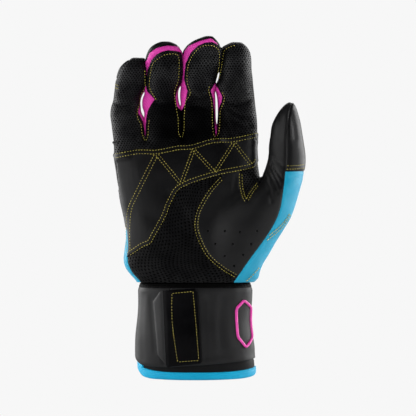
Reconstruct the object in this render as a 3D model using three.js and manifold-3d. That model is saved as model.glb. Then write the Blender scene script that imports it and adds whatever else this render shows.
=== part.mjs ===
// Right-hand batting glove with a long cuff, standing on its hem, fingers up.
// Millimetres. +Z up, the palm faces -Y, the thumb is on the +X side.
// The hand is one hollow form, lofted from sections and cut along its seams into leather and
// stretch panels. Five fingertip forms stand on it, each with its own front, back and gusset.

import * as THREE from 'three';
import { mergeVertices } from 'three/addons/utils/BufferGeometryUtils.js';
import Module from 'manifold-3d';

const wasm = await Module();
wasm.setup();

// Cuff
const cuffWidth = 92; // across the closed strap
const cuffDepth = 48;
const wristHeight = 76; // floor to the wrist seam
const strapThickness = 2.2;
const sleeveThickness = 2.5;
const elasticHeight = 5; // gathered elastic that shows between the strap and the wrist seam
const strapTopHeight = wristHeight - elasticHeight;
const strapSideHeight = 13; // lower edge of the strap on the little-finger side
const strapFrontHeight = 10;
const strapThumbHeight = 16;
const elasticRibDepth = 0.7;
const elasticInset = 1.8; // the gathered elastic is this much slimmer than the strap
const hemHeight = 8;
const hemRise = 7; // how much higher the binding stands at the side vent
const hemCover = 1.2;
const patchThickness = 0.8;

// Pull tab, measured on the front of the strap
const tabThickness = 1.4;
const tabGripReach = 33; // grip end, left of the middle
const tabSewnReach = 5.5; // sewn end, right of the middle
const tabOverhang = 0.5; // below the lower edge of the strap
const tabTopMargin = 1;
const tabBottomHeight = strapFrontHeight - tabOverhang;
const tabTopHeight = strapTopHeight - tabTopMargin;
const tabChamferWidth = 6.5;
const tabChamferHeight = 9;
const tabLowChamferWidth = 10.5;
const tabTaper = 4.5;

// Strap
const flapReach = 19.5; // end of the free flap, left of the middle
const hookReachLeft = 17;
const hookReachRight = 9;
const hookMargin = 8; // from the hook patch to the strap's edges
const loopReachLeft = 27;
const loopReachRight = 17;
const loopMargin = 4; // from the loop patch to the strap's upper edge
const loopBottomMargin = 7; // from the hem binding to the loop patch

// Piped outline on the thumb side of the strap
const pipingWidth = 2.2;
const pipingHeight = 0.8;
const pipingMargin = 5; // from the piping to the strap's edges
const pipingChamferHeight = 9;

// Hand
const palmWidth = 114;
const palmHeight = 114; // wrist seam to the finger creases
const handDepth = 32;
const thumbCreaseRise = 82; // wrist seam to the thumb crease
const leatherWall = 1.4;
const overlayThickness = 0.9;
const fingerDepth = 26;
const littleLength = 60.3; // finger crease to fingertip
const ringLength = 72.3;
const middleLength = 77.8;
const indexLength = 71.8;
const thumbLength = 57.6;
const gussetWidth = 10;
const ventDiameter = 2.2;

// Clearances
const seamGap = 0.3;
const overrun = 6; // how far cutters and cavities run past what they cut
const reach = 200; // half length of a cutter that passes right through

const handSides = 36;
const thumbBaseSides = 26;
const fingerSides = 18;
const domeSteps = 4;
const cuffStep = Math.PI / 24;

const creaseHeight = wristHeight + palmHeight;
const thumbCreaseHeight = wristHeight + thumbCreaseRise;

// Palm sections: height, left, right, front, back, as shares of palmHeight, palmWidth and handDepth.
const palmShares = [
  [0, -0.39, 0.377, 0.734, 0.703],
  [0.07, -0.453, 0.404, 0.719, 0.656],
  [0.175, -0.478, 0.412, 0.688, 0.594],
  [0.342, -0.474, 0.421, 0.625, 0.547],
  [0.518, -0.504, 0.43, 0.578, 0.531],
  [0.693, -0.535, 0.439, 0.547, 0.516],
  [0.868, -0.561, 0.434, 0.5, 0.49],
  [1, -0.568, 0.43, 0.45, 0.45],
];

// Ball of the thumb: height as a share of thumbCreaseRise, then as for the palm.
const thumbBaseShares = [
  [0, 0.02, 0.35, 0.66, 0.4],
  [0.24, 0.06, 0.495, 0.88, 0.44],
  [0.46, 0.13, 0.596, 0.96, 0.42],
  [0.68, 0.235, 0.686, 0.95, 0.37],
  [0.84, 0.36, 0.714, 0.86, 0.31],
  [1, 0.463, 0.734, 0.74, 0.22],
];

// Finger sections: height as a share of the finger's length, left and right edges as shares of
// palmWidth, and how far the section leans forward and its half depth, as shares of fingerDepth.
const fingers = [
  {
    name: 'little',
    length: littleLength,
    gussetSides: ['right'],
    sectionShares: [
      [0, -0.566, -0.349, 0, 0.49],
      [0.25, -0.572, -0.373, 0.01, 0.47],
      [0.47, -0.562, -0.368, 0.02, 0.46],
      [0.68, -0.548, -0.337, 0.05, 0.45],
      [0.84, -0.527, -0.329, 0.09, 0.42],
    ],
  },
  {
    name: 'ring',
    length: ringLength,
    gussetSides: ['left', 'right'],
    sectionShares: [
      [0, -0.343, -0.105, 0, 0.5],
      [0.18, -0.344, -0.101, 0.01, 0.5],
      [0.35, -0.352, -0.107, 0.05, 0.49],
      [0.53, -0.33, -0.105, 0.13, 0.48],
      [0.71, -0.325, -0.091, 0.29, 0.46],
      [0.85, -0.323, -0.088, 0.47, 0.43],
    ],
  },
  {
    name: 'middle',
    length: middleLength,
    gussetSides: ['left', 'right'],
    sectionShares: [
      [0, -0.097, 0.139, 0, 0.5],
      [0.22, -0.093, 0.137, 0.01, 0.5],
      [0.42, -0.098, 0.142, 0.04, 0.49],
      [0.6, -0.083, 0.147, 0.11, 0.48],
      [0.76, -0.081, 0.166, 0.26, 0.46],
      [0.87, -0.069, 0.174, 0.43, 0.43],
    ],
  },
  {
    name: 'index',
    length: indexLength,
    gussetSides: ['left'],
    sectionShares: [
      [0, 0.148, 0.43, 0, 0.5],
      [0.18, 0.154, 0.427, 0.01, 0.49],
      [0.4, 0.159, 0.412, 0.03, 0.48],
      [0.62, 0.159, 0.397, 0.06, 0.46],
      [0.84, 0.181, 0.392, 0.12, 0.43],
    ],
  },
];

const thumb = {
  name: 'thumb',
  length: thumbLength,
  sectionShares: [
    [0, 0.463, 0.734, 0.33, 0.58],
    [0.25, 0.503, 0.76, 0.35, 0.54],
    [0.49, 0.515, 0.74, 0.39, 0.51],
    [0.73, 0.536, 0.716, 0.44, 0.46],
  ],
};

// Seam lines on the front of the hand: across as shares of palmWidth from the middle of the
// cuff, up as shares of palmHeight from the wrist seam.
const overlayTopShares = [
  [-0.7, 0.85], [-0.55, 0.852], [-0.394, 0.88], [-0.263, 0.88], [-0.117, 0.907], [-0.02, 0.914],
  [0.123, 0.955], [0.26, 0.961], [0.425, 0.985], [0.7, 0.99],
];
const overlayLowShares = [
  [0.7, 0.83], [0.425, 0.82], [0.38, 0.784], [0.137, 0.732], [-0.096, 0.651], [-0.171, 0.551],
  [-0.219, 0.435], [-0.288, 0.311], [-0.315, 0.263], [-0.362, 0.243], [-0.455, 0.182], [-0.7, 0.14],
];
const thumbPanelShares = [
  [0.21, 0.742], [0.184, 0.702], [0.117, 0.626], [0.058, 0.538], [0.02, 0.455], [0.01, 0.36],
  [0.041, 0.263], [0.096, 0.168], [0.184, 0.089], [0.281, 0.032], [0.33, -0.2], [0.9, -0.2],
  [0.9, 0.765], [0.37, 0.765],
];
const webShares = [
  [0.315, 0.768], [0.315, 0.647], [0.33, 0.59], [0.35, 0.551], [0.39, 0.6], [0.425, 0.654],
  [0.458, 0.722], [0.6, 0.74], [0.6, 0.797], [0.4, 0.786],
];
const sidePanelShares = [
  [0.618, 0.9], [0.612, 0.74], [0.596, 0.554], [0.586, 0.491], [0.554, 0.408], [0.49, 0.298],
  [0.394, 0.167], [0.278, 0.004], [0.26, -0.2], [0.95, -0.2], [0.95, 0.9],
];
const thumbSeamShares = [
  [0.616, 0.6], [0.618, 0.8], [0.624, 0.99], [0.632, 1.1], [0.664, 1.225], [0.68, 1.4], [0.95, 1.4],
  [0.95, 0.6],
];
const seamDepth = 1; // the front leather wraps this far past the middle of the hand
const knuckleRise = 72; // wrist seam to the seam under the knuckles, on the back

// Vent holes in the thumb panel, as shares of palmWidth and palmHeight.
const ventShares = [
  [0.089, 0.337], [0.205, 0.337], [0.308, 0.33], [0.424, 0.337],
  [0.14, 0.248], [0.26, 0.248], [0.383, 0.248],
  [0.205, 0.166], [0.328, 0.173], [0.267, 0.098],
];

// Solids and meshes

function solidOf(geometry) {
  const bare = geometry.index ? geometry.toNonIndexed() : geometry.clone();
  bare.deleteAttribute('normal');
  bare.deleteAttribute('uv');
  const merged = mergeVertices(bare);
  const mesh = new wasm.Mesh({
    numProp: 3,
    vertProperties: new Float32Array(merged.attributes.position.array),
    triVerts: new Uint32Array(merged.index.array),
  });
  return new wasm.Manifold(mesh);
}

function geometryOf(solid) {
  const mesh = solid.getMesh();
  const geometry = new THREE.BufferGeometry();
  geometry.setAttribute('position', new THREE.BufferAttribute(new Float32Array(mesh.vertProperties), 3));
  geometry.setIndex(new THREE.BufferAttribute(new Uint32Array(mesh.triVerts), 1));
  geometry.computeVertexNormals();
  return geometry;
}

// The largest piece of a cut solid: a seam that grazes a form can leave a crumb beside it.
function mainPiece(solid) {
  const pieces = solid.decompose();
  return pieces.reduce((best, piece) => (piece.volume() > best.volume() ? piece : best));
}

// A closed skin over rings of points. Each ring is a list of Vector3, all of one length.
function skin(rings, closedAlong = false) {
  const sides = rings[0].length;
  const positions = [];
  const index = [];
  for (const ring of rings) {
    for (const point of ring) {
      positions.push(point.x, point.y, point.z);
    }
  }
  const spans = closedAlong ? rings.length : rings.length - 1;
  for (let row = 0; row < spans; row += 1) {
    const next = (row + 1) % rings.length;
    for (let side = 0; side < sides; side += 1) {
      const a = row * sides + side;
      const b = row * sides + ((side + 1) % sides);
      const c = next * sides + ((side + 1) % sides);
      const d = next * sides + side;
      index.push(a, b, c, a, c, d);
    }
  }
  if (!closedAlong) {
    const addCap = (row, facingBack) => {
      const centre = new THREE.Vector3();
      rings[row].forEach((point) => centre.add(point));
      centre.divideScalar(sides);
      const hub = positions.length / 3;
      positions.push(centre.x, centre.y, centre.z);
      for (let side = 0; side < sides; side += 1) {
        const a = row * sides + side;
        const b = row * sides + ((side + 1) % sides);
        index.push(...(facingBack ? [hub, b, a] : [hub, a, b]));
      }
    };
    addCap(0, true);
    addCap(rings.length - 1, false);
  }
  const geometry = new THREE.BufferGeometry();
  geometry.setAttribute('position', new THREE.BufferAttribute(new Float32Array(positions), 3));
  geometry.setIndex(index);
  return geometry;
}

function signedPower(value, power) {
  return Math.sign(value) * Math.abs(value) ** power;
}

// One section of a form: an oval squarer than an ellipse, turning anticlockwise seen from above.
function ovalRing({ centre, halfWidth, front, back, sides, squareness, tilt }) {
  const power = 2 / squareness;
  return Array.from({ length: sides }, (unused, side) => {
    const angle = (2 * Math.PI * side) / sides;
    const across = halfWidth * signedPower(Math.cos(angle), power);
    const sine = signedPower(Math.sin(angle), power);
    const deep = sine * (sine > 0 ? back : front);
    return new THREE.Vector3(
      centre.x + across,
      centre.y + deep * Math.cos(tilt),
      centre.z + deep * Math.sin(tilt),
    );
  });
}

// Cutters: an outline drawn across the front (x, z) or from the side (y, z), driven right through.

function prismThroughDepth(outline, from = -reach, to = reach) {
  const shape = new THREE.Shape(outline.map(([x, z]) => new THREE.Vector2(x, z)));
  const geometry = new THREE.ExtrudeGeometry(shape, { depth: to - from, bevelEnabled: false });
  geometry.rotateX(Math.PI / 2);
  geometry.translate(0, to, 0);
  return solidOf(geometry);
}

function prismThroughWidth(outline, from = -reach, to = reach) {
  const shape = new THREE.Shape(outline.map(([y, z]) => new THREE.Vector2(y, z)));
  const geometry = new THREE.ExtrudeGeometry(shape, { depth: to - from, bevelEnabled: false });
  geometry.rotateX(Math.PI / 2);
  geometry.rotateZ(Math.PI / 2);
  geometry.translate(from, 0, 0);
  return solidOf(geometry);
}

function blockBetween(low, high) {
  const geometry = new THREE.BoxGeometry(high[0] - low[0], high[1] - low[1], high[2] - low[2]);
  geometry.translate((low[0] + high[0]) / 2, (low[1] + high[1]) / 2, (low[2] + high[2]) / 2);
  return solidOf(geometry);
}

// An outline moved outwards by a distance, each corner along its mitre.
function grownOutline(outline, distance) {
  const points = outline.map(([x, y]) => new THREE.Vector2(x, y));
  const turn = THREE.ShapeUtils.area(points) > 0 ? 1 : -1;
  return points.map((point, at) => {
    const before = points[(at + points.length - 1) % points.length];
    const after = points[(at + 1) % points.length];
    const first = point.clone().sub(before).normalize();
    const second = after.clone().sub(point).normalize();
    const normalA = new THREE.Vector2(first.y, -first.x).multiplyScalar(turn);
    const normalB = new THREE.Vector2(second.y, -second.x).multiplyScalar(turn);
    const mitre = normalA.clone().add(normalB).normalize();
    const stretch = distance / Math.max(mitre.dot(normalA), 0.5);
    return [point.x + mitre.x * stretch, point.y + mitre.y * stretch];
  });
}

const handOutline = (shares) => shares.map(([across, up]) => [
  across * palmWidth,
  wristHeight + up * palmHeight,
]);

// Hand form

function handSections(table, rise, sides, squareness, grow) {
  const rings = table.map(([up, left, right, front, back]) => ({
    centre: new THREE.Vector3(((left + right) / 2) * palmWidth, 0, wristHeight + up * rise),
    halfWidth: ((right - left) / 2) * palmWidth + grow,
    front: front * handDepth + grow,
    back: back * handDepth + grow,
    sides,
    squareness,
    tilt: 0,
  }));
  const lower = { ...rings[0], centre: rings[0].centre.clone().setZ(wristHeight - overrun) };
  const last = rings[rings.length - 1];
  const upper = { ...last, centre: last.centre.clone().setZ(last.centre.z + overrun) };
  return solidOf(skin([lower, ...rings, upper].map(ovalRing)));
}

const palmSquareness = 2.5;
const thumbBaseSquareness = 2.1;
const palmForm = (grow) => handSections(palmShares, palmHeight, handSides, palmSquareness, grow);
const thumbBaseForm = (grow) => (
  handSections(thumbBaseShares, thumbCreaseRise, thumbBaseSides, thumbBaseSquareness, grow)
);

const belowCrease = blockBetween([-reach, -reach, wristHeight], [reach, reach, creaseHeight - seamGap / 2]);
const belowThumb = blockBetween([-reach, -reach, 0], [reach, reach, thumbCreaseHeight - seamGap / 2]);

const handShell = palmForm(0)
  .add(thumbBaseForm(0).intersect(belowThumb))
  .intersect(belowCrease)
  .subtract(palmForm(-leatherWall))
  .subtract(thumbBaseForm(-leatherWall));

const frontHalf = blockBetween([-reach, -reach, 0], [reach, seamDepth, reach * 2]);
const backHalf = blockBetween([-reach, seamDepth + seamGap, 0], [reach, reach, reach * 2]);
const sidePanelCut = prismThroughDepth(handOutline(sidePanelShares));
const besideSidePanel = prismThroughDepth(grownOutline(handOutline(sidePanelShares), seamGap));
const webCut = prismThroughDepth(handOutline(webShares));
const aroundWeb = prismThroughDepth(grownOutline(handOutline(webShares), seamGap));
const thumbPanelCut = prismThroughDepth(handOutline(thumbPanelShares));
const aroundThumbPanel = prismThroughDepth(grownOutline(handOutline(thumbPanelShares), seamGap));

const frontShell = handShell.intersect(frontHalf).subtract(besideSidePanel);
const backShell = handShell.intersect(backHalf).subtract(besideSidePanel);

function ventHole([across, up]) {
  const hole = new THREE.CylinderGeometry(ventDiameter / 2, ventDiameter / 2, reach, 8);
  hole.translate(across * palmWidth, -reach / 2, wristHeight + up * palmHeight);
  return solidOf(hole);
}

function makeThumbPanel() {
  let panel = frontShell.intersect(thumbPanelCut).subtract(aroundWeb);
  for (const place of ventShares) {
    panel = panel.subtract(ventHole(place));
  }
  return mainPiece(panel);
}

const knuckleHeight = wristHeight + knuckleRise;
const underKnuckles = blockBetween([-reach, -reach, 0], [reach, reach, knuckleHeight - seamGap / 2]);
const overKnuckles = blockBetween([-reach, -reach, knuckleHeight + seamGap / 2], [reach, reach, reach * 2]);

function makePalmOverlay() {
  const outline = handOutline([...overlayTopShares, ...overlayLowShares]);
  return mainPiece(
    palmForm(seamGap + overlayThickness)
      .subtract(palmForm(seamGap))
      .intersect(frontHalf)
      .intersect(belowCrease)
      .intersect(prismThroughDepth(outline)),
  );
}

// Fingers

function fingerCentres({ length, sectionShares }, baseHeight) {
  const rows = sectionShares.map(([up, left, right, lean, deep]) => ({
    centre: new THREE.Vector3(
      ((left + right) / 2) * palmWidth,
      -lean * fingerDepth,
      baseHeight + up * length,
    ),
    halfWidth: ((right - left) / 2) * palmWidth,
    front: deep * fingerDepth,
    back: deep * fingerDepth,
  }));
  return rows.map((row, at) => {
    const before = rows[Math.max(at - 1, 0)].centre;
    const after = rows[Math.min(at + 1, rows.length - 1)].centre;
    const along = after.clone().sub(before);
    const tilt = at === 0 ? 0 : Math.atan2(-along.y, along.z);
    return { ...row, tilt };
  });
}

const fingerSquareness = 2.2;

function fingerForm(finger, baseHeight, grow) {
  const rows = fingerCentres(finger, baseHeight).map((row) => ({
    ...row,
    halfWidth: row.halfWidth + grow,
    front: row.front + grow,
    back: row.back + grow,
    sides: fingerSides,
    squareness: fingerSquareness,
  }));
  const foot = { ...rows[0], centre: rows[0].centre.clone().setZ(baseHeight - overrun) };
  const last = rows[rows.length - 1];
  const tipRise = baseHeight + finger.length - last.centre.z;
  const domeLength = tipRise / Math.cos(last.tilt) + grow;
  const domes = Array.from({ length: domeSteps }, (unused, step) => {
    const angle = ((step + 1) / (domeSteps + 0.35)) * (Math.PI / 2);
    const advance = domeLength * Math.sin(angle);
    const narrow = Math.cos(angle);
    return {
      ...last,
      centre: last.centre.clone().add(
        new THREE.Vector3(0, -advance * Math.sin(last.tilt), advance * Math.cos(last.tilt)),
      ),
      halfWidth: last.halfWidth * narrow,
      front: last.front * narrow,
      back: last.back * narrow,
    };
  });
  return solidOf(skin([foot, ...rows, ...domes].map(ovalRing)));
}

// The line beside a finger's middle line, seen from the side, at a distance towards the back.
function sideLine(finger, baseHeight, distance) {
  const rows = fingerCentres(finger, baseHeight);
  const line = rows.map(({ centre, tilt }) => [
    centre.y + distance * Math.cos(tilt),
    centre.z + distance * Math.sin(tilt),
  ]);
  const { centre, tilt } = rows[rows.length - 1];
  const beyond = finger.length / 2;
  line.push([
    centre.y + distance * Math.cos(tilt) - beyond * Math.sin(tilt),
    centre.z + distance * Math.sin(tilt) + beyond * Math.cos(tilt),
  ]);
  line.unshift([distance, baseHeight - overrun]);
  return line;
}

function regionBetween(finger, baseHeight, near, far) {
  return prismThroughWidth([
    ...sideLine(finger, baseHeight, near),
    ...sideLine(finger, baseHeight, far).reverse(),
  ]);
}

// The half of a finger on one side of its middle line, up to the start of its tip.
function sideHalf(finger, baseHeight, side, extra) {
  const sign = side === 'right' ? 1 : -1;
  const rows = fingerCentres(finger, baseHeight);
  const tipTop = baseHeight + finger.length;
  const line = rows.map(({ centre }) => [centre.x - sign * extra, centre.z]);
  const last = rows[rows.length - 1].centre;
  const top = (last.z + tipTop) / 2 + extra;
  return prismThroughDepth([
    [rows[0].centre.x - sign * extra, baseHeight - overrun],
    ...line,
    [last.x - sign * extra, top],
    [last.x + sign * palmWidth, top],
    [last.x + sign * palmWidth, baseHeight - overrun],
  ]);
}

function fingerShell(finger, baseHeight) {
  const above = blockBetween([-reach, -reach, baseHeight + seamGap / 2], [reach, reach, reach * 2]);
  return fingerForm(finger, baseHeight, 0)
    .subtract(fingerForm(finger, baseHeight, -leatherWall))
    .intersect(above);
}

function makeFinger(finger) {
  const shell = fingerShell(finger, creaseHeight);
  const half = gussetWidth / 2;
  const region = (near, far) => regionBetween(finger, creaseHeight, near, far);
  const twoSided = finger.gussetSides.length === 2;
  const [side] = finger.gussetSides;
  let gusset = shell.intersect(region(-half, half));
  let front = shell.intersect(region(-palmWidth, twoSided ? -half - seamGap : half));
  const back = shell.intersect(region(half + seamGap, palmWidth));
  if (!twoSided) {
    gusset = gusset.intersect(sideHalf(finger, creaseHeight, side, 0));
    const beside = region(-half - seamGap, half + overrun)
      .intersect(sideHalf(finger, creaseHeight, side, seamGap));
    front = front.subtract(beside);
  }
  return [
    [`${finger.name}_front_leather`, mainPiece(front)],
    [`${finger.name}_gusset`, mainPiece(gusset)],
    [`${finger.name}_back_leather`, mainPiece(back)],
  ];
}

function makeThumb() {
  const shell = fingerShell(thumb, thumbCreaseHeight);
  const seam = handOutline(thumbSeamShares);
  const region = (near, far) => regionBetween(thumb, thumbCreaseHeight, near, far);
  const front = shell
    .intersect(region(-palmWidth, 0))
    .subtract(prismThroughDepth(grownOutline(seam, seamGap)));
  const back = shell.subtract(
    region(-palmWidth, seamGap).subtract(prismThroughDepth(seam)),
  );
  return [
    ['thumb_front_leather', mainPiece(front)],
    ['thumb_back_leather', mainPiece(back)],
  ];
}

// Cuff: bands that follow one oval, each between two offsets from the strap's outer face.
// Angle 0 is the thumb side and angles grow across the front towards the little-finger side.

const cuffSquareness = 2.2;

function cuffPoint(angle, grow, height) {
  const power = 2 / cuffSquareness;
  return new THREE.Vector3(
    (cuffWidth / 2 + grow) * signedPower(Math.cos(angle), power),
    -(cuffDepth / 2 + grow) * signedPower(Math.sin(angle), power),
    height,
  );
}

// The angle at which the strap's outer face stands at a given place across the front.
function angleAcross(across) {
  return Math.acos(signedPower((2 * across) / cuffWidth, cuffSquareness / 2));
}

function bandAngles(from, to) {
  const angles = [from];
  for (let step = Math.floor(from / cuffStep) + 1; step * cuffStep < to - cuffStep / 4; step += 1) {
    if (step * cuffStep > from + cuffStep / 4) {
      angles.push(step * cuffStep);
    }
  }
  angles.push(to);
  return angles;
}

function cuffBand({ from, to, inner, outer, bottom, top }) {
  const heightAt = (limit, angle) => (typeof limit === 'function' ? limit(angle) : limit);
  const growAt = heightAt;
  const full = to - from > 2 * Math.PI - cuffStep / 4;
  const angles = bandAngles(from, to);
  if (full) {
    angles.pop();
  }
  const rings = angles.map((angle) => [
    cuffPoint(angle, growAt(inner, angle), heightAt(bottom, angle)),
    cuffPoint(angle, growAt(outer, angle), heightAt(bottom, angle)),
    cuffPoint(angle, growAt(outer, angle), heightAt(top, angle)),
    cuffPoint(angle, growAt(inner, angle), heightAt(top, angle)),
  ]);
  return solidOf(skin(rings, full));
}

const fullTurn = { from: 0, to: 2 * Math.PI };
const sleeveOuter = -strapThickness - seamGap;
const sleeveInner = sleeveOuter - sleeveThickness;
const flapEndAngle = angleAcross(-flapReach);
const flapEndGap = (2 * seamGap) / cuffDepth;

// The binding rises round the side vent, on the little-finger side.
function hemTop(angle) {
  const away = Math.min(Math.abs(angle - Math.PI) / (Math.PI / 8), 1);
  return hemHeight + (hemRise * (1 + Math.cos(Math.PI * away))) / 2;
}

function makeLoopPatch(clearance) {
  return cuffBand({
    from: angleAcross(loopReachRight) - clearance / (cuffDepth / 2),
    to: angleAcross(-loopReachLeft) + clearance / (cuffDepth / 2),
    inner: sleeveOuter - patchThickness - clearance,
    outer: sleeveOuter + clearance * 4,
    bottom: hemHeight + loopBottomMargin - clearance,
    top: strapTopHeight - loopMargin + clearance,
  });
}

function makeSleeve() {
  const sleeve = cuffBand({
    ...fullTurn,
    inner: sleeveInner,
    outer: sleeveOuter,
    bottom: hemCover + seamGap,
    top: strapTopHeight,
  });
  return sleeve.subtract(makeLoopPatch(seamGap));
}

function makeHemBinding() {
  const cover = cuffBand({
    ...fullTurn,
    inner: sleeveInner - seamGap - hemCover,
    outer: sleeveOuter + seamGap + hemCover,
    bottom: 0,
    top: hemTop,
  });
  const room = cuffBand({
    ...fullTurn,
    inner: sleeveInner - seamGap,
    outer: sleeveOuter + seamGap,
    bottom: hemCover,
    top: hemHeight + hemRise + overrun,
  });
  return cover.subtract(room);
}

function strapLowEdge(angle) {
  const share = Math.sin(angle / 2) ** 2;
  const low = THREE.MathUtils.lerp(strapThumbHeight, strapSideHeight, share);
  return Math.max(low, hemTop(angle) + seamGap);
}

function flapLowEdge(angle) {
  const share = Math.min(angle / (Math.PI / 2), 1);
  return THREE.MathUtils.lerp(strapThumbHeight, strapFrontHeight, share);
}

function makeStrapBase() {
  return cuffBand({
    from: flapEndAngle + flapEndGap,
    to: 2 * Math.PI - flapEndGap / 2,
    inner: -strapThickness,
    outer: 0,
    bottom: strapLowEdge,
    top: strapTopHeight,
  });
}

function makeHookPatch(clearance) {
  return cuffBand({
    from: angleAcross(hookReachRight) - clearance / (cuffDepth / 2),
    to: angleAcross(-hookReachLeft) + clearance / (cuffDepth / 2),
    inner: -strapThickness - clearance * 4,
    outer: -strapThickness + patchThickness + clearance,
    bottom: strapFrontHeight + hookMargin - clearance,
    top: strapTopHeight - hookMargin + clearance,
  });
}

function makeFlap() {
  const flap = cuffBand({
    from: 0,
    to: flapEndAngle,
    inner: -strapThickness,
    outer: 0,
    bottom: flapLowEdge,
    top: strapTopHeight,
  });
  return flap.subtract(makeHookPatch(seamGap));
}

function makePullTab() {
  const tab = cuffBand({
    from: angleAcross(tabSewnReach + tabTaper) - cuffStep,
    to: angleAcross(-tabGripReach) + cuffStep,
    inner: seamGap,
    outer: seamGap + tabThickness,
    bottom: 0,
    top: wristHeight,
  });
  const outline = [
    [-tabGripReach + tabChamferWidth, tabTopHeight - tabTaper / 2],
    [-tabGripReach, tabTopHeight - tabChamferHeight],
    [-tabGripReach + tabTaper, tabBottomHeight + tabChamferHeight],
    [-tabGripReach + tabTaper + tabLowChamferWidth, tabBottomHeight],
    [tabSewnReach, tabBottomHeight + tabTaper / 2],
    [tabSewnReach - tabTaper / 2, tabTopHeight - tabTaper],
    [tabSewnReach - tabTaper, tabTopHeight],
  ];
  return tab.intersect(prismThroughDepth(outline));
}

// A piped outline laid on the strap: an upright six-sided frame swept with a square section.
function makePiping() {
  const pipingFrom = Math.PI / 16;
  const pipingTo = Math.PI / 4;
  const middle = (pipingFrom + pipingTo) / 2;
  const pipingBottomHeight = strapThumbHeight + pipingMargin;
  const pipingTopHeight = strapTopHeight - pipingMargin;
  const corners = [
    [middle, pipingBottomHeight],
    [pipingTo, pipingBottomHeight + pipingChamferHeight],
    [pipingTo, pipingTopHeight - pipingChamferHeight],
    [middle, pipingTopHeight],
    [pipingFrom, pipingTopHeight - pipingChamferHeight],
    [pipingFrom, pipingBottomHeight + pipingChamferHeight],
  ];
  const stepsPerEdge = 4;
  const path = [];
  corners.forEach(([angle, height], at) => {
    const [nextAngle, nextHeight] = corners[(at + 1) % corners.length];
    for (let step = 0; step < stepsPerEdge; step += 1) {
      const share = step / stepsPerEdge;
      path.push([
        THREE.MathUtils.lerp(angle, nextAngle, share),
        THREE.MathUtils.lerp(height, nextHeight, share),
      ]);
    }
  });
  const rings = path.map(([angle, height], at) => {
    const [angleBefore, heightBefore] = path[(at + path.length - 1) % path.length];
    const [angleAfter, heightAfter] = path[(at + 1) % path.length];
    const here = cuffPoint(angle, 0, height);
    const along = cuffPoint(angleAfter, 0, heightAfter)
      .sub(cuffPoint(angleBefore, 0, heightBefore))
      .normalize();
    const turnLeft = cuffPoint(angle - cuffStep / 4, 0, height);
    const turnRight = cuffPoint(angle + cuffStep / 4, 0, height);
    const out = new THREE.Vector3(0, 0, 1).cross(turnLeft.sub(turnRight)).normalize().negate();
    const across = out.clone().cross(along).normalize();
    const place = (side, lift) => here.clone()
      .addScaledVector(across, (side * pipingWidth) / 2)
      .addScaledVector(out, lift);
    const low = seamGap * 1.5;
    return [
      place(-1, low),
      place(1, low),
      place(1, low + pipingHeight),
      place(-1, low + pipingHeight),
    ];
  });
  return solidOf(skin(rings, true));
}

// Gathered elastic between the sleeve and the hand.
function makeElastic() {
  const ribStep = cuffStep / 2;
  const rings = [];
  const inner = sleeveInner + seamGap;
  const bottom = strapTopHeight + seamGap;
  const top = wristHeight - seamGap;
  const ribs = Math.round((2 * Math.PI) / ribStep);
  for (let at = 0; at < ribs; at += 1) {
    const angle = at * ribStep;
    const outer = -elasticInset + (at % 2 ? 0 : elasticRibDepth);
    rings.push([
      cuffPoint(angle, inner, bottom),
      cuffPoint(angle, outer, bottom),
      cuffPoint(angle, outer, top),
      cuffPoint(angle, inner, top),
    ]);
  }
  return solidOf(skin(rings, true));
}

// Finishes, from the photograph

const finishes = {
  grainLeather: { color: 0x1b1b1c, roughness: 0.6, metalness: 0 },
  smoothLeather: { color: 0x262627, roughness: 0.5, metalness: 0 },
  stretchBlue: { color: 0x3fa9cf, roughness: 0.75, metalness: 0 },
  stretchPink: { color: 0xd83a9e, roughness: 0.7, metalness: 0 },
  stretchBlack: { color: 0x141414, roughness: 0.85, metalness: 0 },
  neoprene: { color: 0x202021, roughness: 0.8, metalness: 0 },
  bindingBlue: { color: 0x2f9cc4, roughness: 0.6, metalness: 0 },
  fastener: { color: 0x0d0d0d, roughness: 0.95, metalness: 0 },
  pipingPink: { color: 0xe23aa5, roughness: 0.45, metalness: 0 },
};

const finishOfGusset = 'stretchPink';
const pieces = [
  ['palm_leather', 'grainLeather', mainPiece(
    frontShell.subtract(aroundThumbPanel).subtract(aroundWeb),
  )],
  ['palm_overlay', 'smoothLeather', makePalmOverlay()],
  ['thumb_panel', 'smoothLeather', makeThumbPanel()],
  ['web_patch', 'grainLeather', mainPiece(frontShell.intersect(webCut))],
  ['thumb_side_panel', 'stretchBlue', mainPiece(handShell.intersect(sidePanelCut))],
  ['back_hand_panel', 'stretchBlue', mainPiece(backShell.intersect(underKnuckles))],
  ['knuckle_flex_panel', 'stretchBlack', mainPiece(backShell.intersect(overKnuckles))],
  ['wrist_elastic', 'stretchBlack', makeElastic()],
  ['cuff_sleeve', 'neoprene', makeSleeve()],
  ['hem_binding', 'bindingBlue', makeHemBinding()],
  ['strap_base', 'neoprene', makeStrapBase()],
  ['loop_patch', 'fastener', makeLoopPatch(0)],
  ['strap_flap', 'neoprene', makeFlap()],
  ['hook_patch', 'fastener', makeHookPatch(0)],
  ['pull_tab', 'smoothLeather', makePullTab()],
  ['strap_piping', 'pipingPink', makePiping()],
];
for (const finger of fingers) {
  for (const [name, solid] of makeFinger(finger)) {
    pieces.push([name, name.endsWith('gusset') ? finishOfGusset : 'grainLeather', solid]);
  }
}
for (const [name, solid] of makeThumb()) {
  pieces.push([name, 'smoothLeather', solid]);
}

const glove = new THREE.Group();
for (const [name, finish, solid] of pieces) {
  const mesh = new THREE.Mesh(geometryOf(solid), new THREE.MeshStandardMaterial(finishes[finish]));
  mesh.name = name;
  glove.add(mesh);
}

// The origin is the middle of the bottom of the box round the whole glove.
const box = new THREE.Box3().setFromObject(glove);
glove.position.set(-(box.min.x + box.max.x) / 2, -(box.min.y + box.max.y) / 2, -box.min.z);

export default glove;
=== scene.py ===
import math
from functools import partial

import bpy
import numpy as np
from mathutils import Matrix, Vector, noise
from mathutils.bvhtree import BVHTree
from mathutils.kdtree import KDTree


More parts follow.
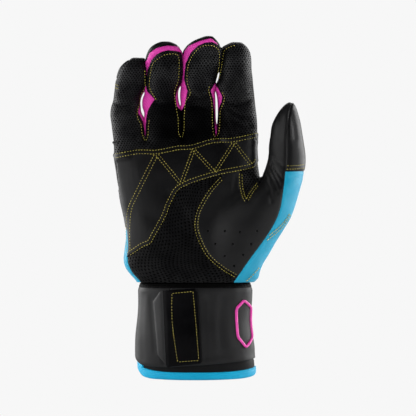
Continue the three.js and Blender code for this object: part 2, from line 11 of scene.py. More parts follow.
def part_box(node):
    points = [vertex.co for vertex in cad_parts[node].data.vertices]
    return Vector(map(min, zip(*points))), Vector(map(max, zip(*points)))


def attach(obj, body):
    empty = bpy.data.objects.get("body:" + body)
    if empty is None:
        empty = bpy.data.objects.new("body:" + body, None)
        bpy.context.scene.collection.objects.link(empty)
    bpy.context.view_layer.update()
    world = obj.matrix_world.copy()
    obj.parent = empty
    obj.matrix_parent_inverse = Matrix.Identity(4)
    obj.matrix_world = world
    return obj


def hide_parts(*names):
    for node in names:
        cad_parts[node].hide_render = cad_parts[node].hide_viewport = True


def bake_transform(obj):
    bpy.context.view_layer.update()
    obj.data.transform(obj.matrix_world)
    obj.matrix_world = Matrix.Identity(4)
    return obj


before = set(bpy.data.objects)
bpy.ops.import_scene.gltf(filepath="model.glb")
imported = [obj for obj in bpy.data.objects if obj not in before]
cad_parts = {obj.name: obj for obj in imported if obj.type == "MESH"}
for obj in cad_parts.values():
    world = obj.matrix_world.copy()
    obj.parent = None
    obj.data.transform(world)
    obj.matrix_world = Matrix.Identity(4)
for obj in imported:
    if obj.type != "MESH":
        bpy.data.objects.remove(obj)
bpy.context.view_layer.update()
bpy.ops.object.select_all(action="DESELECT")

metre = 1000.0
turn = 2 * math.pi
sleeveLow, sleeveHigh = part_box("cuff_sleeve")
middleX = (sleeveLow.x + sleeveHigh.x) / 2 * metre
middleY = (sleeveLow.y + sleeveHigh.y) / 2 * metre
toRow = np.array([middleX, middleY, 0.0])

# The photograph's frame, on the upright plane through the middle of the cuff
photo = {
    "pixels": 416,
    "mmPerPixel": 0.78,
    "cuffPixel": 195,  # middle of the cuff, across
    "hemPixel": 378,  # bottom of the hem, down
    "distance": 1600.0,  # from the camera to that plane
    "sensor": 36.0,
}
photo["cameraX"] = (photo["pixels"] / 2 - photo["cuffPixel"]) * photo["mmPerPixel"]
photo["cameraZ"] = (photo["hemPixel"] - photo["pixels"] / 2) * photo["mmPerPixel"]


# Points as the photograph shows them, in pixels across and down
def inPhoto(points):
    near = photo["distance"] / (photo["distance"] + points[:, 1])
    across = (points[:, 0] - photo["cameraX"]) * near / photo["mmPerPixel"]
    down = (photo["cameraZ"] - points[:, 2]) * near / photo["mmPerPixel"]
    return np.stack([across, down], 1) + photo["pixels"] / 2


# The point at a given depth that the photograph shows at a pixel
def fromPhoto(across, down, depth):
    far = (photo["distance"] + depth) / photo["distance"] * photo["mmPerPixel"]
    x = (across - photo["pixels"] / 2) * far + photo["cameraX"]
    z = photo["cameraZ"] - (down - photo["pixels"] / 2) * far
    return np.array([x, depth, z])


def smoothStep(value):
    value = np.clip(value, 0, 1)
    return value * value * (3 - 2 * value)


# Smooth curve through a table: rows of [place, value, value ...]
def through(table, places):
    table = np.array(sorted(table), float)
    xs = table[:, 0]
    places = np.clip(np.asarray(places, float), xs[0], xs[-1])
    at = np.clip(np.searchsorted(xs, places) - 1, 0, len(xs) - 2)
    slopes = np.gradient(table[:, 1:], xs, axis=0)
    width = (xs[at + 1] - xs[at])[..., None]
    t = ((places - xs[at]) / width[..., 0])[..., None]
    a, b = table[at, 1:], table[at + 1, 1:]
    m, n = slopes[at] * width, slopes[at + 1] * width
    return (
        a * (1 + 2 * t) * (1 - t) ** 2
        + m * t * (1 - t) ** 2
        + b * t * t * (3 - 2 * t)
        - n * t * t * (1 - t)
    )


# A flowing line through a few points, with steps to each span
def flowing(points, steps=6):
    points = np.array(points, float)
    ends = np.concatenate([[2 * points[0] - points[1]], points, [2 * points[-1] - points[-2]]])
    line = []
    for a, b, c, d in zip(ends, ends[1:], ends[2:], ends[3:]):
        for t in np.linspace(0, 1, steps, endpoint=False):
            bend = (2 * a - 5 * b + 4 * c - d) * t**2
            line.append(0.5 * (2 * b + (c - a) * t + bend + (3 * b - a - 3 * c + d) * t**3))
    return np.array(line + [points[-1]])


# Distance of flat points from a line of points
def distanceTo(line, points, closed=False):
    starts = np.array(line, float)
    ends = np.roll(starts, -1, axis=0) if closed else starts[1:]
    starts = starts if closed else starts[:-1]
    best = np.full(len(points), 1e9)
    for start, end in zip(starts, ends):
        along = end - start
        t = np.clip((points - start) @ along / max(along @ along, 1e-9), 0, 1)
        gap = points - start - t[:, None] * along
        best = np.minimum(best, np.hypot(gap[:, 0], gap[:, 1]))
    return best


# Distance from an outline, positive inside it
def inside(outline, points):
    outline = np.array(outline, float)
    within = np.zeros(len(points), bool)
    for (x0, y0), (x1, y1) in zip(outline, np.roll(outline, -1, axis=0)):
        crosses = (y0 > points[:, 1]) != (y1 > points[:, 1])
        with np.errstate(divide="ignore", invalid="ignore"):
            reach = x0 + (points[:, 1] - y0) * (x1 - x0) / (y1 - y0)
        within ^= crosses & (points[:, 0] < reach)
    gap = distanceTo(outline, points, closed=True)
    return np.where(within, gap, -gap)


def addObject(name, data):
    piece = bpy.data.objects.new(name, data)
    bpy.context.scene.collection.objects.link(piece)
    return piece


def newObject(name, points, faces):
    mesh = bpy.data.meshes.new(name)
    mesh.from_pydata(np.asarray(points).tolist(), [], [list(face) for face in faces])
    mesh.validate()
    mesh.shade_smooth()
    return addObject(name, mesh)


def only(piece):
    bpy.ops.object.select_all(action="DESELECT")
    piece.select_set(True)
    bpy.context.view_layer.objects.active = piece


# Pieces joined into the last of them
def joined(pieces):
    only(pieces[-1])
    for piece in pieces:
        piece.select_set(True)
    bpy.ops.object.join()
    return pieces[-1]


def modify(piece, kind, **settings):
    only(piece)
    modifier = piece.modifiers.new(kind.title(), kind)
    for setting, value in settings.items():
        setattr(modifier, setting, value)
    bpy.ops.object.modifier_apply(modifier=modifier.name)


# Numbers read out of a mesh, three to a row, or one where they say which point a corner is
def readOut(items, what, kind=float):
    size = 1 if what == "vertex_index" else 3
    flat = np.zeros(len(items) * size, kind)
    items.foreach_get(what, flat)
    return flat.reshape(-1, size)


def pointsOf(piece):
    return readOut(piece.data.vertices, "co")


def movePoints(piece, points):
    piece.data.vertices.foreach_set("co", np.asarray(points, float).ravel())
    piece.data.update()


def toMetres(piece):
    movePoints(piece, (pointsOf(piece) + toRow) / metre)


def trianglesOf(piece):
    piece.data.calc_loop_triangles()
    return readOut(piece.data.loop_triangles, "vertices", np.int32)


# Faces between rings of points, ring after ring
def ringFaces(rings, sides, closed=False):
    faces = []
    for ring in range(rings if closed else rings - 1):
        here, there = ring * sides, (ring + 1) % rings * sides
        for side in range(sides):
            after = (side + 1) % sides
            faces.append([here + side, here + after, there + after, there + side])
    return faces


# Hand form: closed ovals up each finger, the palm and the ball of the thumb, grown into one skin

hand = {
    "voxel": 1.0,
    "squareness": {"palm": 2.6, "ball": 1.8, "thumb": 1.75},
    "fingerSquareness": ([60, 2.15], [88, 2.2], [106, 3.0], [160, 3.0]),  # pixel down, squareness
    "outerSquareness": 2.5,  # at most, of the little and index fingers
    "skew": {"ball": 0.2, "thumb": 0.08},  # how much deeper the side away from the fingers is
    "fingersFrom": 184.0,  # height where the fingers part
    "spread": 5.0,  # how far neighbours are held apart while the skin grows
    "heldFinger": 2.4,
    "spreadRise": 3.0,
    "smoothing": (0.5, -0.52) * 6,  # shares drawn to the neighbours, and pushed back
    "valleySmoothing": (0.6,) * 60,
    "smoothed": 0.9,
    "tipsLess": 0.6,
    "tipsFrom": 215,  # height where the fingertips start, which are smoothed less
    "tipsOver": 25,
    "lumpSize": 14.0,  # soft unevenness of the filled glove
    "lumpHeight": 0.35,
    "lumpSeed": 3.0,
}

# Outlines down the photograph: [pixel down, left, right, middle's depth, half depth]
outlines = {
    "little": [
        [160, 114.8, 145.4, 0, 12.4], [148, 114, 145.4, 0, 12.6], [136, 112.6, 145, 0, 12.6],
        [124, 111.6, 144.6, 0, 12.4], [116, 110.6, 143, -0.2, 12.2], [108, 111, 140.7, -0.3, 12.1],
        [100, 113.2, 140.8, -0.5, 12], [92, 114.4, 143.6, -0.8, 11.9], [82, 115.4, 146.6, -1.2, 11.8],
        [73, 117.6, 147, -1.8, 11.4], [67, 120.4, 146.4, -2.3, 10.6], [63, 124.2, 145.4, -2.7, 9],
        [60, 128.4, 144.8, -3, 6.6], [57.8, 132.6, 142.8, -3.1, 3.2],
    ],
    "ring": [
        [160, 145.8, 181.8, 0, 13], [148, 145.8, 182, 0, 13.2], [136, 145.6, 182.3, 0, 13.2],
        [124, 145.3, 182.2, 0, 13], [116, 144.6, 181.8, -0.2, 12.9], [108, 142.8, 180.2, -0.5, 12.9],
        [100, 142.1, 178.8, -1, 12.8], [92, 145, 178.5, -1.8, 12.7], [82, 147.3, 181.6, -3, 12.5],
        [70, 147.6, 182.8, -5.2, 12.1], [60, 146.8, 182.6, -7.9, 11.5], [53, 148.8, 181.8, -10, 10.4],
        [48, 151.6, 180, -11.5, 8.8], [44.4, 156, 176.6, -12.6, 6.4], [41.8, 161.6, 170.4, -13.2, 3],
    ],
    "middle": [
        [160, 182.2, 216.2, 0, 13], [148, 182.4, 216.3, 0, 13.2], [136, 182.7, 216.3, 0, 13.2],
        [124, 182.7, 216, 0, 13], [116, 182.2, 215.8, -0.2, 12.9], [106, 180.9, 215.6, -0.5, 12.9],
        [96, 179.8, 215.1, -1.1, 12.8], [88, 180.4, 214.6, -1.8, 12.7], [80, 182.7, 216.4, -2.8, 12.6],
        [70, 183.6, 219.2, -4.6, 12.3], [60, 183.4, 221.2, -6.8, 11.9], [50, 184, 221.6, -9.6, 11],
        [44, 188.6, 219.4, -11.5, 9.6], [40, 195.2, 216.4, -12.7, 7.4], [36.2, 206, 212.4, -13.6, 3.2],
    ],
    "index": [
        [160, 216.6, 257.2, 0, 13], [148, 216.8, 256.4, 0, 13.2], [136, 216.7, 257.2, 0, 13.2],
        [124, 217.3, 257.2, 0, 13], [112, 217.6, 256.4, -0.2, 12.9], [100, 217.4, 254.8, -0.5, 12.8],
        [88, 216, 253.6, -0.9, 12.6], [78, 218.4, 252.8, -1.3, 12.4], [68, 220.2, 251.6, -1.9, 12.1],
        [58, 221.8, 251.2, -2.6, 11.5], [51, 222.2, 249.8, -3.2, 10.2], [47, 223.2, 247.4, -3.6, 8.8],
        [44.4, 227.4, 244.8, -3.9, 6.4], [42.2, 232, 241.6, -4, 3.0],
    ],
    "thumb": [
        [196, 250, 298.4, -8.2, 16], [186, 256, 301.2, -8.6, 15.4], [176, 261.6, 303.2, -8.9, 14.8],
        [166, 265.8, 305.6, -9.2, 14.3], [156, 268.3, 305.6, -9.5, 14], [146, 269, 304.4, -10, 13.7],
        [136, 270, 303, -10.5, 13.2], [124, 272, 300.8, -11.2, 12.2], [115, 276.4, 298.6, -11.8, 10.8],
        [108, 281.6, 296.6, -12.2, 8.6], [104, 285.6, 294.8, -12.4, 6], [102, 288.6, 293, -12.5, 3],
    ],
    "palm": [  # [pixel down, left, right, depth in front, depth behind]
        [286, 137.8, 251.6, 20.6, 20], [280, 135.6, 254.4, 22.6, 21.6], [274, 130.2, 255.4, 23, 21.6],
        [268, 125.6, 254.6, 23, 21], [262, 123.6, 254.4, 22.6, 20], [250, 124.5, 254.8, 21.6, 19],
        [238, 125.9, 255.4, 20.6, 18], [226, 126, 256, 19.8, 17.3], [214, 123.9, 256.8, 19, 17],
        [202, 121, 258, 18.4, 16.8], [190, 118.8, 259, 17.8, 16.6], [180, 117, 260, 17.2, 16.3],
        [170, 115.4, 258.6, 16.6, 16.1], [158, 113.8, 257, 15.6, 15.4], [148, 114.2, 255.6, 14.2, 14.2],
        [142, 114.6, 255.4, 11.4, 11.4], [138.6, 117, 253, 7, 7],
    ],
    "ball": [
        [284, 190, 250, 19.2, 12], [278.6, 190.6, 258.4, 20.6, 12.6], [274, 191, 259.2, 21.8, 13],
        [264, 188, 262.8, 23.8, 13.6], [256, 189, 267.6, 25.2, 14], [244, 191, 274.6, 26.4, 13.8],
        [232, 195, 282.2, 27.2, 13.4], [220, 202, 289.2, 27.6, 12.8], [208, 213, 294, 27.4, 11.8],
        [197, 229, 297.6, 26.6, 10.6], [186, 252, 300.8, 25.4, 9], [177, 260.4, 302.6, 22, 6.4],
        [171, 267, 301, 17, 3],
    ],
}
fingers = ["little", "ring", "middle", "index"]
# Pixels that neighbours grow towards each other, down the photograph: less where light shows between
touching = [
    [[60, 1.5], [90, 1.6], [94, -0.2], [104, -0.2], [107, 0.4], [109, -0.1], [114, -0.1], [118, 1.5],
     [150, 1.5]],
    [[46, 0.3], [52, 0.9], [56, 1.5], [84, 1.6], [87, -0.3], [104, -0.3], [108, 1.5], [150, 1.5]],
    [[44, 0.4], [48, 1.2], [52, 1.5], [70, 1.5], [73, -0.2], [81, -0.2], [84, 1.6], [89, 1.6], [93, 0.0],
     [122, 0.0], [127, 1.5], [150, 1.5]],
]
ovalSides = 48
sectionStep = 2.0  # pixels between the rings that a form is grown from


# A ring of points, squarer than an oval
def ovalRing(left, right, front, back, height, squareness, skew=0.0):
    angle = np.linspace(0, turn, ovalSides, endpoint=False)
    cosine, sine = np.cos(angle), np.sin(angle)
    power = 2 / squareness
    across = (left + right) / 2 + (right - left) / 2 * np.sign(cosine) * np.abs(cosine) ** power
    deep = np.sign(sine) * np.abs(sine) ** power
    depth = (front + back) / 2 + deep * (back - front) / 2 * (1 + skew * cosine)
    return np.stack([across, depth, np.full(ovalSides, height)], 1)


def reachTo(gap, down):
    return np.interp(down, *np.transpose(touching[gap])) if 0 <= gap < len(touching) else 0.0


def sectionAt(name, down):
    left, right, third, fourth = through(outlines[name], down)
    front, back, middle = -third, fourth, 0.0
    if name in fingers:
        at = fingers.index(name)
        left -= reachTo(at - 1, down)
        right += reachTo(at, down)
    if name not in ("palm", "ball"):
        front, back = third - fourth, third + fourth
        middle = (front + back) / 2
    low, high = fromPhoto(left, down, middle), fromPhoto(right, down, middle)
    return low[0], high[0], front, back, low[2]


# How far a finger is held from its neighbours at a height
def spreadOf(name, height):
    if name not in fingers:
        return np.zeros_like(height)
    place = (fingers.index(name) - hand["heldFinger"]) * hand["spread"]
    above = np.maximum(height - hand["fingersFrom"], 0)
    return place * (1 - np.exp(-above / hand["spreadRise"]))


def growForm(name):
    downs = [row[0] for row in outlines[name]]
    rows = int((max(downs) - min(downs)) / sectionStep)
    rings = []
    for down in np.linspace(max(downs), min(downs), rows):
        own = hand["squareness"].get(name)
        squareness = own or np.interp(down, *np.transpose(hand["fingerSquareness"]))
        if name in (fingers[0], fingers[-1]):
            squareness = min(squareness, hand["outerSquareness"])
        ring = ovalRing(*sectionAt(name, down), squareness, hand["skew"].get(name, 0.0))
        ring[:, 0] += spreadOf(name, ring[:, 2])
        rings.append(ring)
    faces = ringFaces(rows, ovalSides)
    faces.append(list(range(ovalSides))[::-1])
    faces.append([(rows - 1) * ovalSides + side for side in range(ovalSides)])
    return newObject(name, np.concatenate(rings), faces)


# Rows added up by the place that each belongs to
def gathered(count, places, rows):
    columns = [np.bincount(places, rows[:, at], minlength=count) for at in range(rows.shape[1])]
    return np.stack(columns, 1)


# Smoothing, weighted by point: each share draws the points to their neighbours or pushes them back
def relax(points, edges, shares, weight):
    counts = np.bincount(edges.ravel(), minlength=len(points))[:, None]
    for share in shares:
        total = gathered(len(points), edges[:, 0], points[edges[:, 1]])
        total += gathered(len(points), edges[:, 1], points[edges[:, 0]])
        points = points + share * weight[:, None] * (total / counts - points)
    return points


ballValley = [(234, 172), (218, 188), (205, 210), (201, 236), (208, 260), (228, 280)]  # in pixels
ballEase = 24.0  # pixels either side of it that ease into each other


def makeHandSkin():
    skin = joined([growForm(name) for name in outlines][::-1])
    modify(skin, "REMESH", mode="VOXEL", voxel_size=hand["voxel"], use_smooth_shade=True)
    modify(skin, "SMOOTH", factor=0.5, iterations=3)
    return skin


# Middle line between two fingers, in pixels, at pixels down the photograph
def partingOf(left, right, down):
    return (through(outlines[left], down)[..., 1] + through(outlines[right], down)[..., 0]) / 2


partings = list(zip(fingers, fingers[1:]))
thumbParting = 262.0  # pixels across, between the index finger and the thumb


# Which finger each point belongs to, 0 to 3 from the little finger, 4 for the thumb
def fingerAt(across, down, held=None):
    label = np.zeros(len(across), int)
    for at, (left, right) in enumerate(partings):
        place = partingOf(left, right, down)
        if held is not None:
            place = place + (held[at] + held[at + 1]) / 2 / photo["mmPerPixel"]
        label += across > place
    limit = thumbParting if held is None else thumbParting + 2
    label[across > limit] = 4
    return label


# Points moved back from where the fingers were held, and the finger that each belongs to
def releaseFingers(points):
    pixels = inPhoto(points)
    held = [spreadOf(name, points[:, 2]) for name in fingers]
    label = fingerAt(pixels[:, 0], pixels[:, 1], held)
    released = points.copy()
    for at, name in enumerate(fingers):
        own = label == at
        released[own, 0] -= held[at][own]
    return released, label


def edgesOf(faces, rimOnly=False):
    pairs = np.concatenate([faces[:, [0, 1]], faces[:, [1, 2]], faces[:, [2, 0]]])
    edges, counts = np.unique(np.sort(pairs, axis=1), axis=0, return_counts=True)
    return edges[counts == 1] if rimOnly else edges


def pointNormals(points, faces):
    a, b, c = points[faces[:, 0]], points[faces[:, 1]], points[faces[:, 2]]
    facing = np.cross(b - a, c - a)
    normals = gathered(len(points), faces.ravel(), np.repeat(facing, 3, axis=0))
    return normals / np.maximum(np.linalg.norm(normals, axis=1), 1e-9)[:, None]


# Folds of the worn leather, in pixels: line, half width in mm, depth in mm
folds = [
    ([(262, 178), (256, 188), (251, 199)], 2.6, 0.9),
    ([(269.6, 165), (275, 176), (280.6, 187)], 1.0, 0.8),
    ([(271.6, 163), (277, 172), (282.6, 180)], 0.9, 0.6),
    ([(267.4, 171), (273.4, 181), (278, 193)], 1.0, 0.7),
    ([(265, 179), (269.6, 189), (271.6, 202)], 1.4, 0.7),
    ([(269.5, 152), (276, 160), (284, 167)], 1.4, 0.4),
    ([(236.6, 176), (234.6, 184), (233.8, 194)], 1.9, 0.45),
    ([(228, 182), (227, 192), (226, 204)], 3.0, 0.2),
    ([(277, 108), (280, 122), (279, 138)], 2.4, 0.5),
    ([(291, 112), (294, 124), (295.6, 138)], 2.6, 0.9),
    ([(113, 101), (120, 105), (129, 104), (137, 99)], 1.7, 1.0),
    ([(118, 112), (126, 110), (136, 105)], 1.4, 0.7),
    ([(112, 117), (120, 120), (131, 118)], 1.5, 0.6),
    ([(116, 90), (123, 95), (134, 94)], 1.6, 0.5),
    ([(154, 101), (164, 104), (175, 100)], 2.2, 0.9),
    ([(150, 112), (162, 111), (174, 114)], 1.8, 0.6),
    ([(190, 94), (200, 97), (210, 93)], 2.2, 0.9),
    ([(186, 108), (198, 106), (210, 109)], 1.8, 0.6),
    ([(226, 100), (233, 104), (243, 103), (253, 97)], 2.0, 1.2),
    ([(229, 108), (237, 114), (247, 118)], 2.0, 1.1),
    ([(233, 119), (241, 124), (252, 127)], 1.6, 0.8),
    ([(224, 118), (229, 126), (231, 134)], 1.5, 0.6),
    ([(238, 90), (246, 94), (252, 90)], 1.6, 0.6),
    ([(117, 132), (128, 134), (140, 130)], 2.0, 0.5),
    ([(148, 130), (164, 134), (179, 131)], 3.0, 0.5),
    ([(186, 128), (200, 131), (213, 128)], 3.0, 0.5),
    ([(172, 196), (184, 214), (190, 236), (205, 262)], 4.5, 0.7),
    ([(142, 262), (164, 268), (190, 272)], 4.0, 0.5),
]


# Depth of folds at pixels of the photograph
def foldDepth(lines, pixels, ahead):
    depth = np.zeros(len(pixels))
    for line, width, deep in lines:
        gap = distanceTo(flowing(line), pixels) * photo["mmPerPixel"]
        depth += deep * np.exp(-((gap / width) ** 2)) * ahead
    return depth


# Soft unevenness of a filled glove
def lumps(points, size, seed):
    return np.array([noise.noise(Vector(point) / size + Vector((seed, 0, 0))) for point in points])


print("growing the hand form")
handSkin = makeHandSkin()
handFaces = trianglesOf(handSkin)
handPoints, handFinger = releaseFingers(pointsOf(handSkin))
bpy.data.objects.remove(handSkin)
handEdges = edgesOf(handFaces)
tipShare = smoothStep((handPoints[:, 2] - hand["tipsFrom"]) / hand["tipsOver"])
handPoints = relax(handPoints, handEdges, hand["smoothing"], hand["smoothed"] - hand["tipsLess"] * tipShare)
valleyGap = distanceTo(flowing(ballValley), inPhoto(handPoints))
valleyShare = smoothStep(1.5 - valleyGap / ballEase) * (handPoints[:, 1] < 0)
handPoints = relax(handPoints, handEdges, hand["valleySmoothing"], valleyShare)
handNormals = pointNormals(handPoints, handFaces)
handFolds = foldDepth(folds, inPhoto(handPoints), smoothStep(-handNormals[:, 1] * 3))
handPoints -= handNormals * handFolds[:, None]
handLumps = hand["lumpHeight"] * lumps(handPoints, hand["lumpSize"], hand["lumpSeed"])
handPoints += handNormals * handLumps[:, None]
handNormals = pointNormals(handPoints, handFaces)


# Splits the triangles in use along the line where a value per point changes sign
def cutAlong(points, faces, values, using):
    values = np.where(np.abs(values) < 1e-4, 1e-4, values)
    side = values > 0
    count = side[faces].sum(1)
    crossed = using & (count > 0) & (count < 3)
    cutFaces = faces[crossed]
    lone = side[cutFaces] == (count[crossed] == 1)[:, None]
    first = lone.argmax(1)
    rows = np.arange(len(cutFaces))
    a = cutFaces[rows, first]
    b = cutFaces[rows, (first + 1) % 3]
    c = cutFaces[rows, (first + 2) % 3]
    pairs = np.sort(np.concatenate([np.stack([a, b], 1), np.stack([a, c], 1)]), axis=1)
    unique, found = np.unique(pairs, axis=0, return_inverse=True)
    found = found.ravel()
    share = values[unique[:, 0]] / (values[unique[:, 0]] - values[unique[:, 1]])
    added = points[unique[:, 0]] + share[:, None] * (points[unique[:, 1]] - points[unique[:, 0]])
    ab = found[: len(rows)] + len(points)
    ac = found[len(rows) :] + len(points)
    halves = [np.stack(corners, 1) for corners in ((a, ab, ac), (ab, b, c), (ab, c, ac))]
    return np.concatenate([points, added]), np.concatenate([faces[~crossed], *halves])


# Seams, in pixels of the photograph
seams = {
    "overlayTop": [(96, 158), (115, 156), (137.5, 152), (156.5, 152), (178, 148), (192, 147),
                   (213, 141), (233, 140), (257, 135), (266, 133)],
    "overlayLow": [(268, 158.5), (257, 160), (250.5, 166), (215, 173.5), (181, 185.5), (170, 200),
                   (163, 217), (153, 235), (149, 242), (142, 245), (128.5, 254), (112, 262)],
    "thumbPanelLeft": [(226, 171), (222, 178), (212, 189), (203.5, 202), (198, 214), (196.5, 228),
                       (201, 242), (209, 256), (222, 267.5), (236, 276), (244, 281)],
    "web": [(239.4, 165), (239.6, 173), (240, 186), (243, 197.6), (245.8, 202.2), (249.4, 198.6),
            (253, 192.4), (258, 185.6), (264, 177), (267, 168), (262, 158)],
    "thumbSide": [(292.6, 98), (291.2, 104), (288.2, 122), (286.4, 136), (285.8, 150), (285.7, 160),
                  (285.2, 173), (284, 186), (282.3, 199.5), (280.6, 208.6), (276, 221),
                  (266.6, 237), (252.6, 256), (235.7, 280), (229, 290)],
}
overlayOverlap = 2.4  # pixels that the overlay runs past its stitches

# How far in the back panels show at the left of the palm, pixel down and pixel across
backEdge = [
    [110, 90], [150, 108], [160, 115.6], [172, 117.6], [184, 118.9], [192, 119], [202, 117], [214, 118],
    [222, 123], [229, 126.8], [238, 127.9], [247, 128.3], [254, 127.6], [260, 127.1], [266, 128.4],
    [272, 131.4], [276, 134.4], [279.5, 137.8], [286, 142.8],
]

# How far back the front panels reach on the little-finger side, pixel down and mm
leftSeam = [
    [110, 1.0], [144, 1.0], [158, -3.0], [190, -3.0], [206, -2.2], [222, -2.6], [234, -3.6], [290, -3.6],
]

# Outline of each finger's front leather, and the lower edge of the leather cap on its tip
frontLeather = {
    "little": [
        (96, 175), (96, 96), (114.4, 88), (115, 81.6), (117.2, 76), (122.4, 66.4), (129.4, 59.2), (137.3, 52),
        (150, 50), (154, 62), (150.6, 70), (150.6, 86), (147, 91.4), (144.4, 96),
        (142.6, 103), (139.4, 108.4), (138.6, 112.5), (141.4, 117), (143.9, 122), (144.9, 130),
        (145.8, 138), (146.4, 150), (146.6, 175),
    ],
    "ring": [
        (144.6, 175), (144.6, 150), (144.6, 138), (145.1, 126), (145.6, 119), (147, 111.6), (150.6, 105),
        (154.7, 99.5), (150.4, 95), (146.2, 91), (144.6, 80), (145.6, 72), (148.8, 66), (151, 60.4),
        (156.4, 54.4), (162, 51.6), (168, 50.3), (175.4, 50.9), (181, 52), (186, 56), (186, 71),
        (185, 82), (177.9, 90), (176.1, 97), (177.4, 105.5), (181, 110), (187, 113), (187, 175),
    ],
    "middle": [
        (176, 175), (176, 113), (181.4, 110), (184.4, 104), (186, 97),
        (187.2, 91), (185, 85), (183.4, 78.6), (184, 72), (185, 64), (187.6, 58.4), (191, 52),
        (198, 45.8), (205, 42.4), (212.6, 41.8), (217.4, 44), (224, 48), (226, 56), (225, 68),
        (221, 79), (214.9, 84.5), (211.2, 91), (213.6, 98), (214.9, 109), (215.6, 124), (216.2, 134),
        (217, 150), (217.4, 175),
    ],
    "index": [
        (215.4, 175), (215.6, 150), (216, 136), (216.7, 124), (217.4, 113), (218.6, 107), (220.8, 102.6),
        (221.8, 97), (219.6, 92.4), (217.2, 88), (213, 83), (213, 70), (214, 56), (214, 46),
        (219, 38), (236, 36), (243, 41), (250, 48), (254, 57), (256, 64), (266, 70), (270, 175),
    ],
}
capEdge = {
    "ring": [(138, 70), (146.4, 59.6), (149, 52.9), (156.4, 47.8), (167.4, 45.2), (178.4, 46),
             (181.6, 50), (190, 62), (192, 180), (138, 180)],
    "middle": [(176, 64), (182.6, 56), (183.8, 50.7), (188, 45.6), (199.3, 40.7), (209.6, 37.8),
               (213, 38.6), (217.4, 43), (221, 48.5), (230, 62), (230, 180), (176, 180)],
}
sideSeams = {
    "little": (1.0, -3.0),  # how far past a finger's middle its front leather runs, left and right
    "ring": (-3.0, -3.0),
    "middle": (-3.0, -3.0),
    "index": (-3.0, 6.0),
    "rootWrap": 5.5,  # how much further the leather runs in between the ring and middle fingers' roots
    "tipWrap": 6.0,  # and between the middle and index fingers' tips
    "backSeam": 4.6,  # past the middle, where the back leather starts beside a gusset
}
gussetTop = {"little": 89.0, "index": 83.0}  # pixel down where the outer fingers' gussets start
palmSeamDepth = 1.0
indexWrap = 5.0  # how much further back that seam runs below the index finger
thumbHemPixel = 171.5  # lower hem of the thumb's back leather
fingerFoot = 186.0  # height of the seam at the foot of the fingers, on the back
wristFoot = 75.0
seamHeights = {"wrist": wristFoot, "fingersBack": fingerFoot, "knuckles": 148.0}
# Pixels where a seam starts to ease over, and how far it takes, less than 0 up the photograph
seamEases = {
    "thumbRise": (178, -16),
    "indexAcross": (225, 15),
    "indexFoot": (184, -10),
    "roots": (108, 7),
    "tips": (84, -4),
}
toPixels = 1 / photo["mmPerPixel"]


def eased(name, place):
    start, over = seamEases[name]
    return smoothStep((place - start) / over)


def raised(line, pixels):
    return flowing([(x, y - pixels) for x, y in line])


seamOutlines = {
    "overlay": np.concatenate(
        [raised(seams["overlayTop"], overlayOverlap), raised(seams["overlayLow"], -overlayOverlap)]
    ),
    "thumbPanel": [*flowing(seams["thumbPanelLeft"]), (300, 300), (320, 150), (262, 150), (226, 165)],
    "fingersFront": [*flowing(seams["overlayTop"]), (300, 130), (300, 20), (80, 20), (80, 150)],
    "thumbSide": [*flowing(seams["thumbSide"]), (330, 300), (330, 90)],
    "web": flowing(seams["web"], 4),
}


def middleDepth(name, down):
    return through(outlines[name], down)[..., 2]


# Value of each seam at the points: positive on the side that the seam's name says
def seamValue(name, points):
    pixels = inPhoto(points)
    across, down = pixels.T
    y = points[:, 1]
    if name in seamOutlines:
        return inside(seamOutlines[name], pixels)
    if name in seamHeights:
        return points[:, 2] - seamHeights[name]
    if name.startswith("parting"):
        return across - partingOf(*partings[int(name[-1])], down)
    if name == "thumbAbove":
        return thumbHemPixel - down
    if name == "front":
        atEdge = across - through(backEdge, down)[:, 0]
        up = eased("thumbRise", down) * (across > thumbParting - 1)
        seamDepth = palmSeamDepth * (1 - up) + (middleDepth("thumb", down) + palmSeamDepth) * up
        beside = eased("indexAcross", across) * (across < thumbParting - 1) * eased("indexFoot", down)
        seamDepth = seamDepth + indexWrap * beside
        seamDepth = np.where(across < photo["cuffPixel"], through(leftSeam, down)[:, 0], seamDepth)
        return np.minimum((seamDepth - y) * toPixels, atEdge)
    finger, part = name.split()
    left, right, middle = through(outlines[finger], down)[:, :3].T
    if part == "front":
        side = smoothStep((across - left) / (right - left))
        past = sideSeams[finger][0] * (1 - side) + sideSeams[finger][1] * side
        between = side if finger == "ring" else 1 - side
        between = between if finger in capEdge else 0.5
        past = past + sideSeams["rootWrap"] * eased("roots", down) * between
        facingNext = {"middle": side, "index": 1 - side}.get(finger, 0.0)
        past = past + sideSeams["tipWrap"] * eased("tips", down) * smoothStep(facingNext * 2)
        return np.minimum(inside(frontLeather[finger], pixels), (middle + past - y) * toPixels)
    gusset = (middle + sideSeams["backSeam"] - y) * toPixels
    if finger in capEdge:
        return np.minimum(gusset, inside(capEdge[finger], pixels))
    inner = across - (left + right) / 2 if finger == "little" else (left + right) / 2 - across
    return np.minimum(np.minimum(gusset, inner), down - gussetTop[finger])


# Seams in the order that they are cut: along which of x, y and z their cut is held, from where to
# where in mm, and on the faces of which fingers
far = 1e9
thumb = [4]
fourFingers = [0, 1, 2, 3]
everywhere = fourFingers + thumb
cuts = [(f"parting{at}", 2, -far, fingerFoot + 12, everywhere) for at in range(len(partings))]
cuts += [
    ("wrist", 2, -far, wristFoot + 4, everywhere),
    ("front", 2, -far, 230, everywhere),
    ("thumbSide", 0, 20, far, everywhere),
    ("thumbAbove", 2, -far, far, thumb),
    ("fingersFront", 1, -far, 8, fourFingers),
    ("fingersBack", 1, -8, far, fourFingers),
    ("knuckles", 1, -4, far, everywhere),
    ("web", 1, -far, 2, everywhere),
    ("thumbPanel", 1, -far, 2, everywhere),
    ("overlay", 1, -far, 2, everywhere),
]
for at, finger in enumerate(fingers):
    cuts.append((finger + " front", 2, fingerFoot - 24, far, [at]))
    cuts.append((finger + " gusset", 2, fingerFoot - 4, far, [at]))

